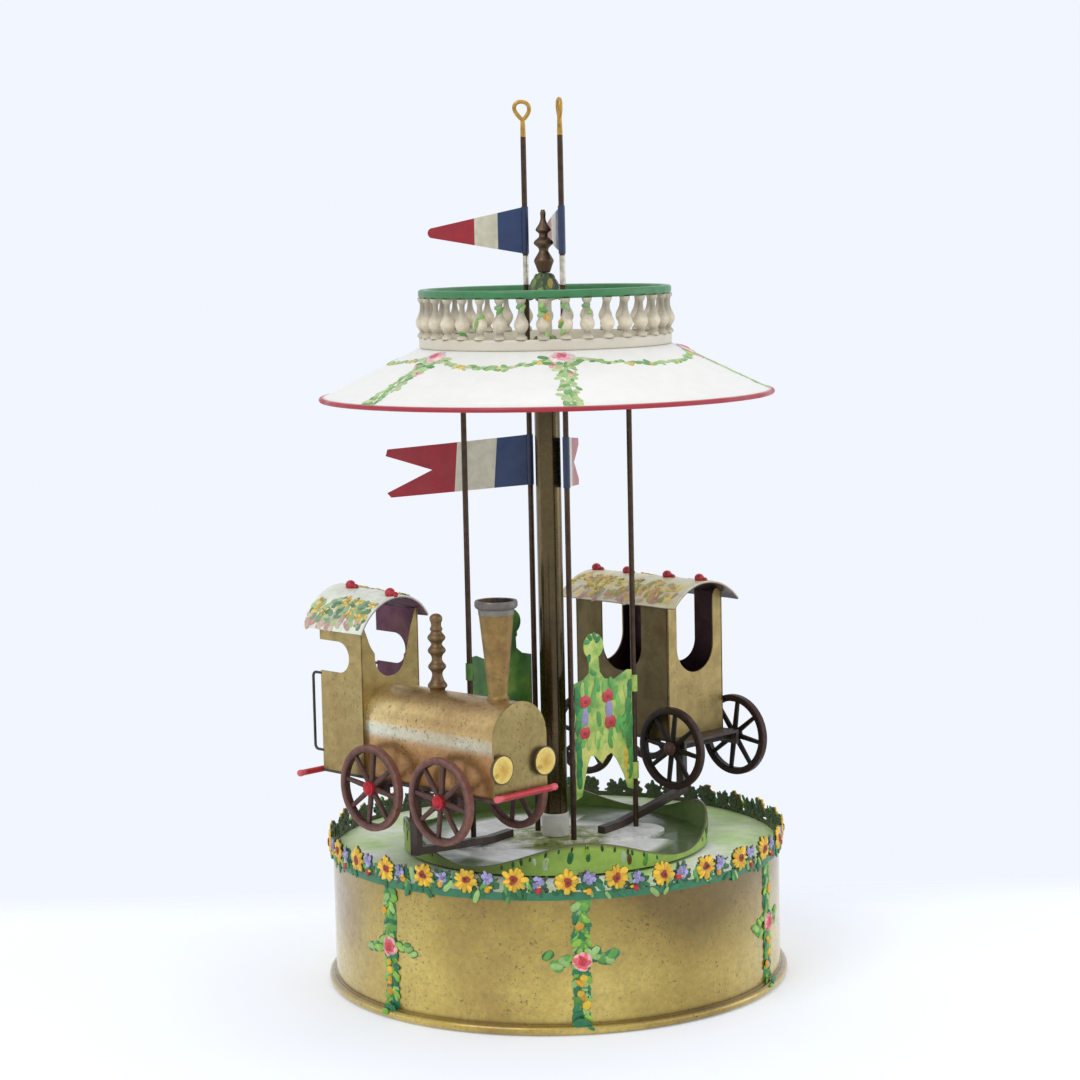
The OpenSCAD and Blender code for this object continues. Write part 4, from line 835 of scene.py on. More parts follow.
def baluster_spots(at):
    """Spots on the front of the balusters, from rows of plan angle and height: each on the nearest baluster."""
    angle, z = np.array(at, float).T
    middle = np.round((angle - BALUSTER_START) / BALUSTER_STEP) * BALUSTER_STEP + BALUSTER_START
    swing = np.clip((angle - middle) * 14, -50, 50)
    thick = np.interp(z / BALUSTER_H, BALUSTER_AT, BALUSTER_R)
    place, along, cross, out = round_spots(middle + swing, FOOT_TOP + z, thick[:, None])
    return place + ring_axes(middle)[0] * BALUSTER_RING, along, cross, out


def gallery_festoon():
    """Leaves and a gold blossom painted over the front balusters."""
    leaf = ((-112, 10.8), (-109, 9.9), (-102, 11.6), (-97, 10.6), (-93, 11.8), (-91, 10.0), (-86, 11.6), (-78, 10.4),
            (-74, 11.2), (-69, 8.9), (-118, 7.6), (-121, 5.4), (-126, 3.2), (-127, 1.8), (-86, 2.6), (-87, 1.4),
            (-85, 5.0), (-94, 8.2))
    bits = ((-87, 6.8), (-85.5, 5.8), (-88, 7.8))
    return joined(brushed(baluster_spots(leaf), rng.normal(0.4, 0.6, len(leaf)), [1.7, 0.85, 0.4],
                          LEAF_PALE, srgb(140, 176, 126), LEAF),
                  brushed(baluster_spots(bits), rng.uniform(0, 3, len(bits)), [1.3, 1.0, 0.5],
                          YELLOW, srgb(236, 178, 110)))


def gallery_ring(low, high, fillet, tint):
    """One of the gallery's two rings."""
    return lathe(rounded_ring(GALLERY_R - GALLERY_W, GALLERY_R, low, high, fillet), tint, 144, True)


make("canopy_sheet", canopy_shell(), canopy_paint, "cream_paint", "canopy")
make("canopy_garlands", canopy_garlands(), relief_paint, "cream_paint")
make("gallery_ring", gallery_ring(CANOPY_TOP, FOOT_TOP, 0.7, srgb(216, 208, 188)), canopy_paint, "cream_paint",
     "gallery_foot")
make("balusters", baluster_shell(), relief_paint, "cream_paint", "gallery_balusters")
make("gallery_festoon", gallery_festoon(), relief_paint, "cream_paint")
make("gallery_top", gallery_ring(RAIL_Z, RAIL_Z + RAIL_H, 0.9, srgb(52, 124, 70)), tin_paint, "green_paint",
     "gallery_rail")


def smooth_profile(r, z, n=60):
    """A turned profile through knots, rounded by an even blend of neighbours."""
    at = np.linspace(0, 1, n)
    knot = np.linspace(0, 1, len(r))
    ease = lambda v: np.convolve(np.pad(np.interp(at, knot, v), 2, mode="edge"), np.ones(5) / 5, "valid")
    return np.c_[ease(r), ease(z)]


finial_r = 3.6 * np.array([0, 0.58, 0.76, 1, 0.8, 0.45, 0.5, 0.97, 0.92, 0.42, 0.42, 0.77, 0.72, 0.36, 0.24, 0.28, 0.18,
                           0])
finial_at = FINIAL_H * np.array([0, 0, 0.09, 0.19, 0.25, 0.34, 0.39, 0.46, 0.5, 0.57, 0.62, 0.67, 0.7, 0.79, 0.86, 0.95,
                                 1, 1])
make("turned_finial", lathe(smooth_profile(finial_r, FINIAL_Z + finial_at, 170), CREAM, 32), dark_metal, "dark_brass",
     "finial")


def pedestal_shell():
    """A stem with a leafy dome under the finial: a turned core with rings of upright leaves on it."""
    core = lathe(np.c_[[0, 4.4, 4.4, 2.4, 2.4, 5.4, 5.3, 4.0, 2.1, 0],
                       CANOPY_TOP + np.array([0, 0, 1.3, 2.5, 15.2, 18.3, 20.3, 23.1, 25.3, 25.4])],
                 bands((srgb(214, 204, 180), 5), (srgb(58, 74, 34), 5)), 40)
    greens = (srgb(80, 104, 46), srgb(124, 146, 72), srgb(178, 160, 72), srgb(40, 46, 22), srgb(62, 84, 36))
    parts = []
    for z, r, count in ((1.6, 3.9, 9), (17.6, 4.9, 11), (19.6, 5.2, 11), (21.6, 4.5, 9), (23.4, 3.4, 7)):
        place, along, cross, out = round_spots(np.arange(count) * 360 / count + z * 23, CANOPY_TOP + z, r)
        leaning = place, along, cross - out * 0.4, out
        parts.append(brushed(leaning, rng.normal(np.pi / 2, 0.3, count), [1.9, 1.15, 0.6], *greens))
    return joined(core, *parts)


make("leaf_pedestal", pedestal_shell(), relief_paint, "green_paint", "finial_pedestal")

# Rods and flags


def pole_shell():
    """A wire with a drop-shaped ring bent at its top; its top is gilt, and it is pale between gallery and pennant."""
    pale, gilt, ring_z = (246.55, 256.65), 298.25, 307.9
    z = np.r_[48.3, np.linspace(60, 246.5, 24), 246.6, 256.6, 256.7, np.linspace(260, 298.2, 8), 298.3,
              np.linspace(300, 305, 4)]
    part = np.digitize(z, [*pale, gilt])
    wire = tube(np.c_[0 * z, 0 * z, z], np.interp(z, [297, 304], [ROD_R, 0.82]),
                np.array([ROD_BROWN, srgb(216, 208, 190), ROD_BROWN, GOLD])[part], 14)
    a = np.linspace(0, 2 * np.pi, 28, endpoint=False)
    drop = 0.9 * np.clip(np.cos(a), 0, 1) ** 6
    ring_x = 2.6 * np.sin(a) * (1 - 0.12 * np.cos(a)) + 0.25 * (1 - np.cos(a))
    return joined(wire, tube(np.c_[ring_x, 0 * a, ring_z - 2.65 * np.cos(a) - drop], 0.72, GOLD, 12, True))


def flag_tint(share, first, second):
    """Navy, cream and red by the share of the length."""
    share = share[..., None]
    return np.where(share < first, NAVY, np.where(share < second, FLAG_CREAM, FLAG_RED))


def flag_steps(first, second):
    """Steps along a flag that double up at its stripes, so that they are sharp."""
    stripes = [first - 1e-3, first, second - 1e-3, second]
    return np.sort(np.r_[np.linspace(0, 1, 26), np.linspace(0.935, 0.998, 9), stripes])


def pennant_shell():
    """A tapering flag with a round tip and a slight wave."""
    stripes = 0.28, 0.52
    u = flag_steps(*stripes)[:, None]
    v = np.linspace(-1, 1, 11)[None]
    long, half, tip_r = PENNANT_L, PENNANT_H / 2, 0.11 * PENNANT_H
    body = np.clip(u * long / (long - tip_r), 0, 1)
    past = u * long - long + tip_r
    cap = np.sqrt(1 - np.clip(past / tip_r, 0, 0.995) ** 2)
    z = PENNANT_Z + half - 0.02 * PENNANT_H * body + v * (half + (tip_r - half) * body) * np.where(past > 0, cap, 1)
    x = u * long + 0 * v
    return sheet(np.stack([x, 0.35 * np.sin(x / long * 5) * u, z], -1), FLAG_T, flag_tint(u + 0 * v, *stripes))


def swallowtail_shell():
    """A drooping flag whose length follows a fork, shortest half way up, with its stripes square to the droop."""
    stripes = 0.237, 0.51
    u = flag_steps(*stripes)[:, None]
    v = np.sort(np.r_[np.linspace(0, 1, 19), 0.1, 0.49, 0.866])[None]
    reach = np.interp(v, [0, 0.1, 0.49, 0.866, 1], [49.2, 50.8, 35, 52, 51.5])
    share = u + 0 * v
    even, long = 0.6, SWALLOW_L
    x = np.where(share < even, share * long, even * long + (share - even) / (1 - even) * (reach - even * long))
    fall = math.tan(math.radians(4.3))
    z = SWALLOW_H * v * (1 - 0.03 * x / long)
    points = np.stack([x - (z - SWALLOW_H / 2) * fall * np.clip(x / 10, 0, 1), 0.5 * np.sin(x / long * 4.4) * share,
                       SWALLOW_Z + z - x * fall], -1)
    return sheet(points, FLAG_T, flag_tint(x / long, *stripes))


def sleeve(low, tall, radius, tint):
    """A sheet rolled round a rod."""
    return lathe(square_ring(1.02, radius, low, low + tall), tint, 20, True)


stay_z = np.linspace(48.2, 224.7, 24)
for side, turn, low_turn, name in ((-1, 180, 180, "left"), (1, 100, 85, "right")):
    stand = lambda p, turn: turned(p, turn) + [side * POLE[0], side * POLE[1], 0]
    upper, lower = (lambda p: stand(p, turn)), (lambda p: stand(p, low_turn))
    body = f"{name}_pole"
    make(f"wire_{name}", moved(pole_shell(), upper), rod_metal, "dark_brass", f"flag_pole_{name}", body=body)
    for flag, shell, place, low, tall in (("pennant", pennant_shell(), upper, PENNANT_Z, PENNANT_H),
                                          ("swallowtail", swallowtail_shell(), lower, SWALLOW_Z, SWALLOW_H)):
        rolled = moved(sleeve(low, tall, 1.25, NAVY * 0.6), upper)
        make(f"{flag}_flag_{name}", joined(moved(shell, place), rolled), tin_paint, "striped_flag_paint",
             f"{flag}_{name}", body=body)
    stay = tube(np.c_[0 * stay_z, 0 * stay_z, stay_z] + [side * STAY[0], side * STAY[1], 0], ROD_R, ROD_BROWN, 14)
    make(f"stay_{name}", stay, rod_metal, "dark_brass", f"stay_rod_{name}")

# Figure panels


PANEL_W, PANEL_LEFT, PANEL_STAY = 27.26, 1.5, 29.76


def figure_shell():
    """The cut-out figure as a flat outline, 0.4 mm thick."""
    low, crotch, high = 14, 29, 56
    body = np.array([[0, low], [0.1, low + 1], [0.19, crotch - 4], [0.26, crotch], [0.34, crotch - 0.4],
                     [0.46, crotch - 3.4], [0.54, crotch - 1], [0.62, crotch], [0.72, crotch - 3],
                     [0.84, crotch - 9], [0.9, low + 1], [1, low], [1, high + 2], [0.92, high + 2.3],
                     [0.68, high - 0.6], [0.52, high + 0.4], [0.44, high + 3], [0.42, high + 8.6]]) * [PANEL_W, 1]
    head = arc(0.34 * PANEL_W, high + 12.6, 4.6, -58, 238, 26)
    rest = np.array([[0.26, high + 8.6], [0.25, high + 3], [0.16, high + 1], [0, high]]) * [PANEL_W, 1]
    return prism(np.vstack([body, head, rest]) + [PANEL_LEFT, HUB_TOP], -0.2, 0.2, LEAF)


def upright(points):
    """A flat outline stood up: its Y becomes height."""
    return points[:, [0, 2, 1]]


def figure_dabs():
    """Red blossoms joined by lilac strokes, leaf strokes and dark edges, on the outer face of the figure."""
    blooms = np.array([[6.2, 98.3], [16.9, 99.1], [5.7, 87.0], [18.0, 89.5]])
    bars = np.array([[6.0, 92.6], [17.5, 94.2]])
    touches = np.c_[rng.uniform(24.8, 27.2, 8), rng.uniform(68, 84, 8)]
    strokes = np.c_[rng.uniform(4, 26, 30), rng.uniform(82, 104, 30)]
    cap = np.array([[7.6, 119.6], [9, 121.2], [11.2, 121.4], [12.8, 120], [8.4, 113.6], [10.4, 108.2]])
    rims = np.c_[np.repeat([3.0, 27.2], 13), np.tile(np.linspace(70, 101, 13), 2)] + rng.normal(0, 0.3, (26, 2))

    def face(at):
        """Spots at places across and up the panel's outer face."""
        return flat_spots(np.c_[at[:, 0], np.full(len(at), -0.34), at[:, 1]], (1, 0, 0), (0, 0, 1), (0, -1, 0))

    plain = lambda at, turn, size, tint: dabs(face(at), np.full(len(at), turn), size, tint)
    return joined(
        brushed(face(strokes), 1.5 + rng.normal(0, 0.3, 30), [3.0, 1.1, 0.15],
                srgb(126, 196, 92), srgb(190, 218, 112), srgb(96, 176, 82)),
        brushed(face(rims), 1.57 + rng.normal(0, 0.12, 26), [2.9, 1.3, 0.2],
                srgb(40, 128, 68), srgb(52, 146, 74), srgb(78, 160, 78)),
        brushed(face(cap), rng.uniform(0, 3, 6), [1.6, 0.9, 0.2], srgb(46, 132, 66), srgb(70, 150, 72)),
        plain(bars, np.pi / 2, [3.6, 1.7, 0.3], LILAC * 0.95),
        plain(blooms, 0.0, [2.7, 2.6, 0.4], srgb(206, 66, 72)),
        plain(blooms, 0.0, [1.3, 1.3, 0.5], srgb(180, 34, 50)),
        plain(touches, 1.4, [1.5, 0.6, 0.2], YELLOW))


panel_turn = math.degrees(math.atan2(STAY[1] - POLE[1], STAY[0] - POLE[0]))
for half, lift, paint, name in ((0, 0, figure_paint, "front"), (180, 9, shaded_figure_paint, "rear")):
    stand = lambda p: turned(turned(p, panel_turn) + [*POLE, lift], half)
    loops = [moved(sleeve(z, 6, 1.4, LEAF_DARK), lambda p: p + [PANEL_STAY, 0, HUB_TOP]) for z in (18, 50)]
    make(f"figure_{name}", moved(joined(moved(figure_shell(), upright), *loops), stand), paint, "green_paint",
         f"figure_panel_{name}")
    make(f"figure_flowers_{name}", moved(figure_dabs(), stand), relief_paint, "green_paint")

# Wheels


SPOKES = 8


def spoke_shells(tint):
    """Tapered spokes, oval in section, set round the axle."""
    x = np.linspace(2, 12.9, 8)[:, None]
    turn = np.linspace(0, 2 * np.pi, 8, endpoint=False)[None]
    wide = 1.1 - 0.3 * (x - 2) / 10.9
    squarish = lambda c: np.sign(c) * np.abs(c) ** 0.7
    points = np.stack([x + 0 * turn, wide * squarish(np.cos(turn)), 0.72 * squarish(np.sin(turn)) + 0 * x], -1)
    one = surface(points, tint, False, True)
    return [moved(one, lambda p, a=a: turned(p, a)) for a in np.arange(SPOKES) * 360 / SPOKES + 8]


def wheel_pair(x, axle_z, tone, lit, cap):
    """Two spoked wheels on an axle along Y, their hubs painted."""
    rim = lathe(rounded_ring(RIM_IN_R, WHEEL_R, -RIM_HALF, RIM_HALF, 0.4), bands((lit, 12), (tone, 12)), 72, True)
    boss = lathe(np.c_[[1.3, 2.45, 2.45, 2.45, 2.45, 2.3, 1.3], [-2.0, -2.0, 0.6, 0.9, 1.9, 2.0, 2.0]],
                 bands((tone, 3), (cap, 4)), 24, True)
    wheel = moved(joined(rim, boss, *spoke_shells(tone)), lambda p: across(p) + [x, TRACK_HALF, axle_z])
    return joined(wheel, moved(wheel, lambda p: p * [1, -1, 1]))


def axle_shell(x, axle_z, tone, cap):
    """A steel pin with a domed cap at each end."""
    end_y, end_r = np.array([17, 19.3, 19.35, 19.8, 20.3, 20.55]), np.array([1.25, 1.25, 1.85, 1.6, 1.1, 0.4])
    y, r = np.r_[-end_y[::-1], end_y], np.r_[end_r[::-1], end_r]
    tint = np.where((np.abs(y) > 19.2)[:, None], cap, tone)
    return tube(np.c_[0 * y + x, y, 0 * y + axle_z], r, tint, 20)


for train, place, axle_z, tone, lit, cap, axles in (
        ("engine", on_engine, ENGINE_AXLE_Z, IRON, IRON_LIT, RED, (19, -16)),
        ("carriage", on_carriage, CAR_AXLE_Z, IRON_DARK, IRON * 0.42, IRON, (22, -22))):
    for x, end in zip(axles, ("front", "rear")):
        name = f"{train}_{end}"
        body = f"{name}_wheelset"
        make(f"{name}_spoked_wheels", moved(wheel_pair(x, axle_z, tone, lit, cap), place), wheel_paint, "brown_paint",
             f"{name}_wheels", body=body)
        make(f"{name}_pin", moved(axle_shell(x, axle_z, tone, cap), place), wheel_paint, "brown_paint",
             f"{name}_axle_pin", body=body)

# Engine


def boiler_curve(r, n=40):
    """End view of the boiler from foot to foot: straight sides and a half round."""
    side = np.linspace(ENGINE_FLOOR, BOILER_AXIS, 8)[:-1]
    left = np.c_[np.full(7, -r), side]
    return np.vstack([left, arc(0, BOILER_AXIS, r, 180, 0, n), (left * [-1, 1])[::-1]])


# Height on the boiler, and the share of red, green and blue that its painted reflections leave there: browner low down,
# a pale painted highlight half way up, then a bright streak and a darker one near the crest
BOILER_SHEEN = np.array([
    [88, 0.94, 0.73, 0.62], [92.4, 0.94, 0.75, 0.66], [93.4, 1.1, 1.5, 2.7], [97.4, 1.14, 1.6, 2.95],
    [98.6, 1.0, 1.02, 1.0], [101, 1.02, 1.04, 1.04], [103.4, 1.3, 1.34, 1.36], [105.2, 1.18, 1.2, 1.2],
    [107.2, 0.94, 0.92, 0.9], [109, 1.02, 1.02, 1.02]])


def boiler_shell():
    """The boiler's sheet: the end view carried from the cab to the smokebox, with a pale painted highlight half way up
    and a browner painted reflection below.
    """
    curve = boiler_curve(BOILER_R - SHEET_T / 2)
    x = np.linspace(CAB_FRONT, BOILER_FRONT, 20)
    points = np.stack(np.broadcast_arrays(x[:, None], curve[None, :, 0], curve[None, :, 1]), -1)
    sheen = np.stack([np.interp(points[..., 2], BOILER_SHEEN[:, 0], share) for share in BOILER_SHEEN[:, 1:].T], -1)
    return sheet(points, SHEET_T, sheen)


def lamp_shell():
    """A dark cup with a yellow glass that swells out of it."""
    cup = np.array([[0, 0], [4.2, 0], [4.4, 0.8], [5.0, 1.2], [5.0, 1.7], [4.9, 1.8], [0, 1.7]])
    # The cup's dark brown also stands in for the shadow behind the glass: partly painted shadow.
    cup = lathe(cup + [0, PLATE_FRONT], srgb(84, 64, 34), 40)
    r = np.linspace(4.8, 0, 10)
    ring = np.interp(r, [0.6, 4.4], [0, 1])[:, None]
    amber = srgb(206, 158, 48) * (1 - ring) + srgb(236, 210, 108) * ring
    glass = lathe(np.vstack([[[0, 41.4], [4.8, 41.4]], np.c_[r, 42 - 0.45 * (r / 4.8) ** 2]]),
                  np.vstack([bands((srgb(206, 172, 70), 2)), amber]), 40)
    flecks = rng.normal(0, 1.9, (10, 2))
    flecks = flecks[np.hypot(*flecks.T) < 3.7]
    n = len(flecks)
    dots = brushed(flat_spots(np.c_[flecks, np.full(n, 41.85)], *np.eye(3)), rng.uniform(0, 3, n), [1.3, 0.8, 0.05],
                   srgb(214, 172, 62), srgb(232, 202, 100))
    one = moved(joined(cup, glass, dots), lying)
    return joined(*[moved(one, lambda p, y=y: p + [0, y, 88.9]) for y in (-10, 10)])


make("boiler_sheet", moved(boiler_shell(), on_engine), boiler_brass, "aged_brass", "boiler")
front = moved(prism(boiler_curve(12.4), BOILER_FRONT, PLATE_FRONT, CREAM), lambda p: on_engine(lying(p)))
make("smokebox_plate", front, body_brass, "aged_brass", "smokebox_front")
make("lamp_glasses", moved(lamp_shell(), on_engine), relief_paint, "yellow_paint", "lamps")


def buffer_shell(x, z, long, stay_y, stay_r, back_x):
    """A round bar across the engine with swollen ends painted pale as a highlight, on two stays."""
    half = long / 2 + 1.2
    end = half - np.array([4, 2.6, 1.2, 0.5, 0])
    y = np.r_[-end[:0:-1], np.linspace(-end[0], end[0], 12), end[1:]]
    r = np.interp(np.abs(y), np.r_[0, end[1:]], [1.08, 1.08, 1.25, 1.0, 0.3])
    # The bar's ends are painted pale red: a painted highlight.
    tint = np.where((np.abs(y) > half - 3)[:, None], RED_HIGHLIGHT, RED)
    bar = tube(np.c_[0 * y + x, y, 0 * y + z], r, tint, 14)
    stays = [tube(np.c_[np.linspace(back_x, x, 4), np.full(4, s), np.full(4, z - 0.5)], stay_r, RED, 8)
             for s in (-stay_y, stay_y)]
    return joined(bar, *stays)


for name, bar in (("front", (42.1, 79.6, 27, 9, 0.9, 40.9)), ("rear", (-47.1, 78.4, 46, 5, 0.8, -45.9))):
    make(f"{name}_bar", moved(buffer_shell(*bar), on_engine), relief_paint, "red_paint", f"{name}_buffer")

BRASS_TINT = srgb(166, 145, 90)
NOTCH_LOW, NOTCH_HIGH = 113.9, 124.9


def cab_side(y, top):
    """A cab side by rows of height up to its top: its rear edge steps in round the window notch."""
    z = np.sort(np.r_[np.linspace(ENGINE_FLOOR, NOTCH_LOW, 10), NOTCH_LOW + 1e-3, np.linspace(114, 124.8, 22),
                      NOTCH_HIGH - 1e-3, NOTCH_HIGH, np.linspace(125, top, 5)])
    middle, notch_r = (NOTCH_LOW + NOTCH_HIGH) / 2, (NOTCH_HIGH - NOTCH_LOW) / 2
    depth = np.sqrt(np.clip(1 - ((z - middle) / notch_r) ** 2, 0, 1)) * notch_r
    notch = (z > NOTCH_LOW + 5e-4) & (z < NOTCH_HIGH - 5e-4)
    rear = np.where(notch, -35.8 + depth, CAB_BACK)[:, None]
    x = rear + (CAB_FRONT - rear) * np.linspace(0, 1, 9)[None]
    return np.stack([x, np.full_like(x, y), z[:, None] + 0 * x], -1)


def window_wall(reach, half_window, centre, floor, top):
    """A wall by columns: it rises from its floor to the window's round sill, or beside it to its top."""
    u = np.sort(np.r_[np.linspace(-reach, -half_window, 9), np.linspace(half_window, reach, 9),
                      half_window * np.cos(np.linspace(0.002, np.pi - 0.002, 41))])
    inside = np.abs(u) < half_window - 1e-9
    sill = centre - np.sqrt(np.clip(half_window ** 2 - u ** 2, 0, None))
    height = np.where(inside, sill, top(u))
    z = floor + (height - floor)[:, None] * np.linspace(0, 1, 14)[None]
    return u[:, None] + 0 * z, z


def cab_shell():
    """The cab: two sides with a rear notch each, and a front wall with a round-silled window that widens upwards."""
    half = CAB_HALF - SHEET_T / 2
    left = sheet(cab_side(-half, 131.6), SHEET_T, MAROON, BRASS_TINT)
    right = sheet(cab_side(half, 134.4), SHEET_T, BRASS_TINT, MAROON)
    beside = lambda y: np.where(y < 0, np.interp(-y, [7, 9, 12.2], [120.9, 123.6, 131.6]),
                                np.interp(y, [7, 8.2, 9.8, 12.4], [117.5, 121.5, 128, 134.8]))
    under = lambda y: CAB_ROOF_AXIS + np.sqrt((CAB_ROOF_R - ROOF_T) ** 2 - y ** 2) + ROOF_LEAN * (1 + y / CAB_ROOF[2])
    top = lambda y: np.minimum(under(y), beside(y))
    y, z = window_wall(half, 7, 119.3, ENGINE_FLOOR, top)
    front = sheet(np.stack([np.full_like(y, CAB_FRONT - SHEET_T / 2), y, z], -1), SHEET_T, BRASS_TINT, MAROON)
    return joined(left, right, front)


def on_cab(points):
    """The cab roof's lean: up towards its inner eave and, along its crest, towards its rear."""
    rear, front, half = CAB_ROOF
    side = np.clip(points[..., 1:2] / half, -1, 1)
    back = np.clip((front - points[..., :1]) / (front - rear), 0, 1)
    return on_engine(points + (ROOF_LEAN * (1 + side) + 1.6 * back * (1 - side ** 2)) * [0, 0, 1])


def roof_shell(radius, axis, reach, top, under):
    """A barrel roof: an arc carried along, with a slight waver in its radius."""
    rear, front, half = reach
    x = np.linspace(rear, front, 26)[:, None]
    edge = math.asin(half / radius)
    a = np.linspace(-edge, edge, 40)[None]
    r = radius - ROOF_T / 2 + 0.12 * np.sin(x * 0.35 + 2 * a)
    points = np.stack([x + 0 * a, r * np.sin(a), axis + r * np.cos(a)], -1)
    shade = rng.uniform(0.94, 1.04, points.shape[:2])[..., None]
    return sheet(points, ROOF_T, top * shade, under)


def roof_flowers(radius, axis, reach, place, count, paints):
    """Painted leaves and gold blossoms half way down a roof, and pink strokes along its eaves."""
    rear, front, half = reach
    edge = math.asin(half / radius) * radius
    spread = lambda n, low, high: roof_spots(rng.uniform(rear + 2, front - 2, n),
                                             rng.choice([-1, 1], n) * edge * rng.uniform(low, high, n),
                                             radius, axis, place)
    n, m, k = count, count // 2, count // 3
    leaves, pink, gold = spread(n, 0.36, 0.88), spread(m, 0.72, 0.93), spread(k, 0.3, 0.72)
    long = rng.uniform(1.4, 3.0, n)
    return joined(
        brushed(pink, rng.uniform(0, 3, m), [2.6, 1.2, 0.2], MAUVE, srgb(214, 194, 170), srgb(198, 168, 152)),
        brushed(leaves, rng.uniform(0, 3, n), sizes(long, long * 0.62, 0.3), *[srgb(*paint) for paint in paints]),
        blossoms(gold, 5, 1.1, [1.1, 0.85, 0.5], srgb(232, 206, 116), srgb(220, 176, 84), 0.8, 0.25))


def berry_shell(radius, axis, places):
    """Red berries in a row on the crest, each a ball of paint with a smaller one beside it."""
    x = np.array(places, float)
    n = len(x)
    place, *ways = flat_spots(np.c_[x, 0 * x, np.full(n, axis + radius + 0.9)], *np.eye(3))
    ball = dab_form(9, 12, 1.0)
    return joined(dabs((place, *ways), np.zeros(n), [1.8, 1.8, 1.7], RED * 0.9, ball),
                  dabs((place + [1.7, 0.8, -0.6], *ways), np.zeros(n), [1.2, 1.2, 1.0], RED * 0.75, ball))


def make_roof(train, barrel, place, reach, top, under, count, paints, berries):
    """A roof's sheet, its painted flowers and its berries, on the engine's cab or the carriage."""
    make(f"{train}_roof_sheet", moved(roof_shell(*barrel, reach, top, under), place), tin_paint, "pale_floral_paint",
         f"{train}_roof")
    make(f"{train}_roof_flowers", roof_flowers(*barrel, reach, place, count, paints), relief_paint, "pale_floral_paint")
    make(f"{train}_berries", moved(berry_shell(*barrel, berries), place), relief_paint, "red_paint",
         f"{train}_roof_berries")


make("cab_walls", moved(cab_shell(), on_engine), wall_brass_paint, "aged_brass", "cab")
make_roof("cab", (CAB_ROOF_R, CAB_ROOF_AXIS), on_cab, CAB_ROOF, ROOF, MAROON, 104,
          ((116, 156, 112), (150, 184, 136), (176, 200, 140), (104, 140, 104)), (-23.2, -43.9))


def handrail_shell():
    """Grab wires behind the cab: a wire bent at two rounded corners."""
    low, high, back, f, root = 85.4, 112.9, -50, 1.6, CAB_BACK + 0.4
    half_way = (root + back + f) / 2
    path = np.vstack([[[root, high], [half_way, high]], arc(back + f, high - f, f, 90, 180, 7),
                      arc(back + f, low + f, f, 180, 270, 7), [[half_way, low], [root, low]]])
    rail = lambda y: tube(np.c_[path[:, 0], np.full(len(path), y), path[:, 1]], 0.5, srgb(72, 66, 60), 10)
    return joined(rail(-13.2), rail(13.2))


make("grab_wires", moved(handrail_shell(), on_engine), rod_metal, "brown_paint", "cab_handrails")


def chimney_shell():
    """A flared pipe with a flat rim and a bore, turned about its own axis: outside, rim, then bore."""
    profile = np.array([
        [3.7, -1.6], [3.75, 0.6], [3.3, 1.2], [3.2, 2], [5.85, 28.6], [5.9, 28.7],
        [6.0, 28.8], [6.1, 30.4], [6.25, 30.7], [6.9, 31.1], [7.25, 31.7], [7.25, 32.9], [7.0, 33.5], [6.1, 33.5],
        [6.0, 33.3], [5.2, 30], [2.2, 5], [0, 5]])
    # The bore is painted near-black, as painted shade inside the pipe.
    tint = bands((srgb(152, 122, 68), 6), (srgb(138, 132, 122), 3), (srgb(112, 106, 100), 5), (srgb(26, 22, 20), 4))
    return lathe(profile + [0, BOILER_TOP], tint, 56)


make("chimney_pipe", moved(chimney_shell(), lambda p: on_engine(p + [29.7, 0, 0])), chimney_paint, "aged_brass",
     "chimney")
ring_at = np.array([8.1, 13.7, 18.1])
ring_z = (ring_at[:, None] + [-2.4, -1.5, -0.5, 0.1, 0.7, 1.6, 2.3]).ravel()
ring_r = np.tile([1.75, 2.1, 3.0, 3.15, 2.9, 2.1, 1.8], 3)
dome_r = np.r_[0, 2.5, 2.6, 3.4, 3.3, 2.4, 1.9, ring_r, 2.3, 1.7, 1.8, 2.2, 2.2, 1.6, 0.8, 0]
dome_z = np.r_[-1.3, -1.3, 0.5, 1.2, 2.0, 3.2, 4.6, ring_z, 21, 22.2, 23.2, 24.2, 25.2, 26, 26.4, 26.4]
dome = smooth_profile(dome_r, BOILER_TOP + dome_z, 260)
make("turned_dome", moved(lathe(dome, CREAM, 40), on_engine), dome_brass, "aged_brass", "steam_dome")
repaint(arm_paint, "engine_arm", "engine_chassis", "carriage_arm", "carriage_chassis")

# Carriage


def carriage_shell():
    """The carriage body: four walls with round-silled windows open to the roof, dark maroon inside."""
    half, middle = CAR_HALF - SHEET_T / 2, CAR_MID
    window_r, window_z = 10, 113.1
    under = lambda y: CAR_ROOF_AXIS + np.sqrt((CAR_ROOF_R - ROOF_T) ** 2 - y ** 2)
    u, z = window_wall((CAR_FRONT - CAR_BACK) / 2, window_r, window_z, CAR_FLOOR, lambda u: under(half) + 0 * u)
    side = lambda y: np.stack([u + middle, np.full_like(u, y), z], -1)
    v, w = window_wall(CAR_HALF, window_r, window_z, CAR_FLOOR,
                       lambda y: under(y) - 3.4 * np.clip((12.6 - np.abs(y)) / 2.6, 0, 1) ** 2)
    end = lambda x: np.stack([np.full_like(v, x), v, w], -1)
    # The wall that faces the column is a darker brass than the outer walls: painted shade.
    walls = ((side(-half), srgb(98, 84, 46), MAROON_DARK), (side(half), MAROON_DARK, BRASS_TINT),
             (end(CAR_FRONT - SHEET_T / 2), BRASS_TINT, MAROON_DARK),
             (end(CAR_BACK + SHEET_T / 2), MAROON_DARK, BRASS_TINT))
    return joined(*[sheet(points, SHEET_T, front, back) for points, front, back in walls])


make("carriage_walls", moved(carriage_shell(), on_carriage), wall_brass_paint, "aged_brass", "carriage_body")
make_roof("carriage", (CAR_ROOF_R, CAR_ROOF_AXIS), on_carriage, CAR_ROOF, srgb(240, 230, 190), MAROON_DARK, 150,
          ((194, 182, 100), (246, 218, 122), (253, 234, 146), (166, 172, 106), (228, 176, 130)), (-30.9, -15, 5.2, 21))

# Stage, light and camera


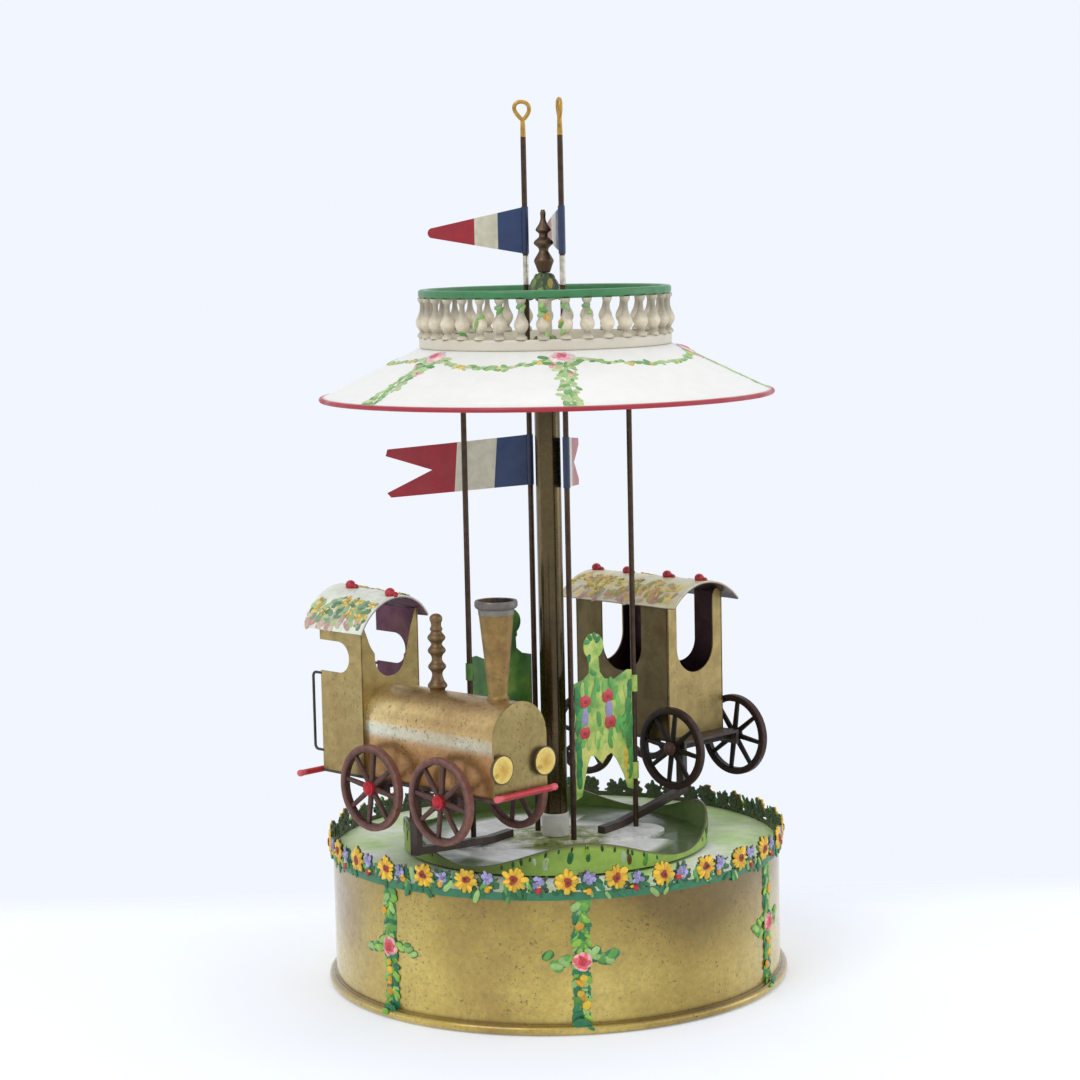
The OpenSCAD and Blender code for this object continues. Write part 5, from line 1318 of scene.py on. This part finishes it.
def stage_floor():
    """A wide pale floor that takes a soft shadow and fades out into the backdrop."""
    turn = np.linspace(0, 2 * np.pi, 64, endpoint=False)[:, None]
    r = np.array([[0.0, 0.4, 1.2, 6.0]])
    points = np.stack([r * np.cos(turn), r * np.sin(turn), 0 * r * turn - 0.0002], -1)
    p, f, _ = surface(points, WHITE, True)
    mesh = bpy.data.meshes.new("floor")
    mesh.from_pydata(p.tolist(), [], f.tolist())
    box = Paintbox("floor_paint", 0.9)
    pale = (*srgb(240, 243, 248), 1)
    set_inputs(box.shader, {"Base Color": pale, "Specular IOR Level": 0.0, "Emission Color": pale,
                            "Emission Strength": 0.19})
    axes = box.nodes.new("ShaderNodeSeparateXYZ")
    fade = box.nodes.new("ShaderNodeMapRange")
    set_inputs(fade, {"From Min": 0.08, "From Max": 0.12, "To Min": 1.0, "To Max": 0.0})
    box.links.new(box.coords, axes.inputs[0])
    box.links.new(axes.outputs["Y"], fade.inputs["Value"])
    box.links.new(fade.outputs["Result"], box.shader.inputs["Alpha"])
    mesh.materials.append(box.material)
    floor = bpy.data.objects.new("floor", mesh)
    scene.collection.objects.link(floor)


def studio_world():
    """A pale backdrop for the camera and for reflections, and a softer even light on what is matt."""
    world = bpy.data.worlds.new("studio")
    world.use_nodes = True
    nodes, links = world.node_tree.nodes, world.node_tree.links
    path = nodes.new("ShaderNodeLightPath")
    seen = path.outputs["Is Camera Ray"]
    for ray in ("Is Glossy Ray", "Is Transmission Ray"):
        either = nodes.new("ShaderNodeMath")
        either.operation = "MAXIMUM"
        links.new(seen, either.inputs[0])
        links.new(path.outputs[ray], either.inputs[1])
        seen = either.outputs[0]
    level = nodes.new("ShaderNodeMapRange")
    set_inputs(level, {"To Min": 0.7, "To Max": 1.0})
    links.new(seen, level.inputs["Value"])
    set_inputs(nodes["Background"], {"Color": (*srgb(242, 246, 254), 1)})
    links.new(level.outputs["Result"], nodes["Background"].inputs["Strength"])
    scene.world = world


def softbox(name, place, wide, tall, power):
    """A soft light that faces the middle of the toy."""
    light = bpy.data.lights.new(name, "AREA")
    light.shape, light.size, light.size_y, light.energy = "RECTANGLE", wide, tall, power
    lamp = bpy.data.objects.new(name, light)
    lamp.location = place
    lamp.rotation_euler = (Vector((0, 0, 0.13)) - Vector(place)).to_track_quat("-Z", "Y").to_euler()
    scene.collection.objects.link(lamp)


stage_floor()
studio_world()
for light in (("key", (-0.7, -0.9, 1.25), 0.8, 0.8, 7.0), ("fill", (1.1, -0.7, 0.7), 1.0, 1.0, 2.0),
              ("top", (0.1, 0.5, 1.5), 0.9, 0.9, 4.0), ("left", (-0.75, 0.0, 0.08), 0.6, 0.14, 0.2),
              ("right", (1.05, 0.1, 0.3), 0.5, 0.6, 1.5)):
    softbox(*light)

camera = bpy.data.objects.new("camera", bpy.data.cameras.new("camera"))
camera.data.lens, camera.data.sensor_width = 89.29, 36
camera.matrix_world = (Matrix.Translation(Vector((-3.447, -945.49, 267.97)) * MM)
                       @ Matrix.Rotation(math.radians(83.257), 4, "X") @ Matrix.Rotation(math.radians(-1.22), 4, "Z"))
scene.collection.objects.link(camera)
bpy.context.scene.camera = camera
bpy.context.scene.view_settings.view_transform = "Standard"
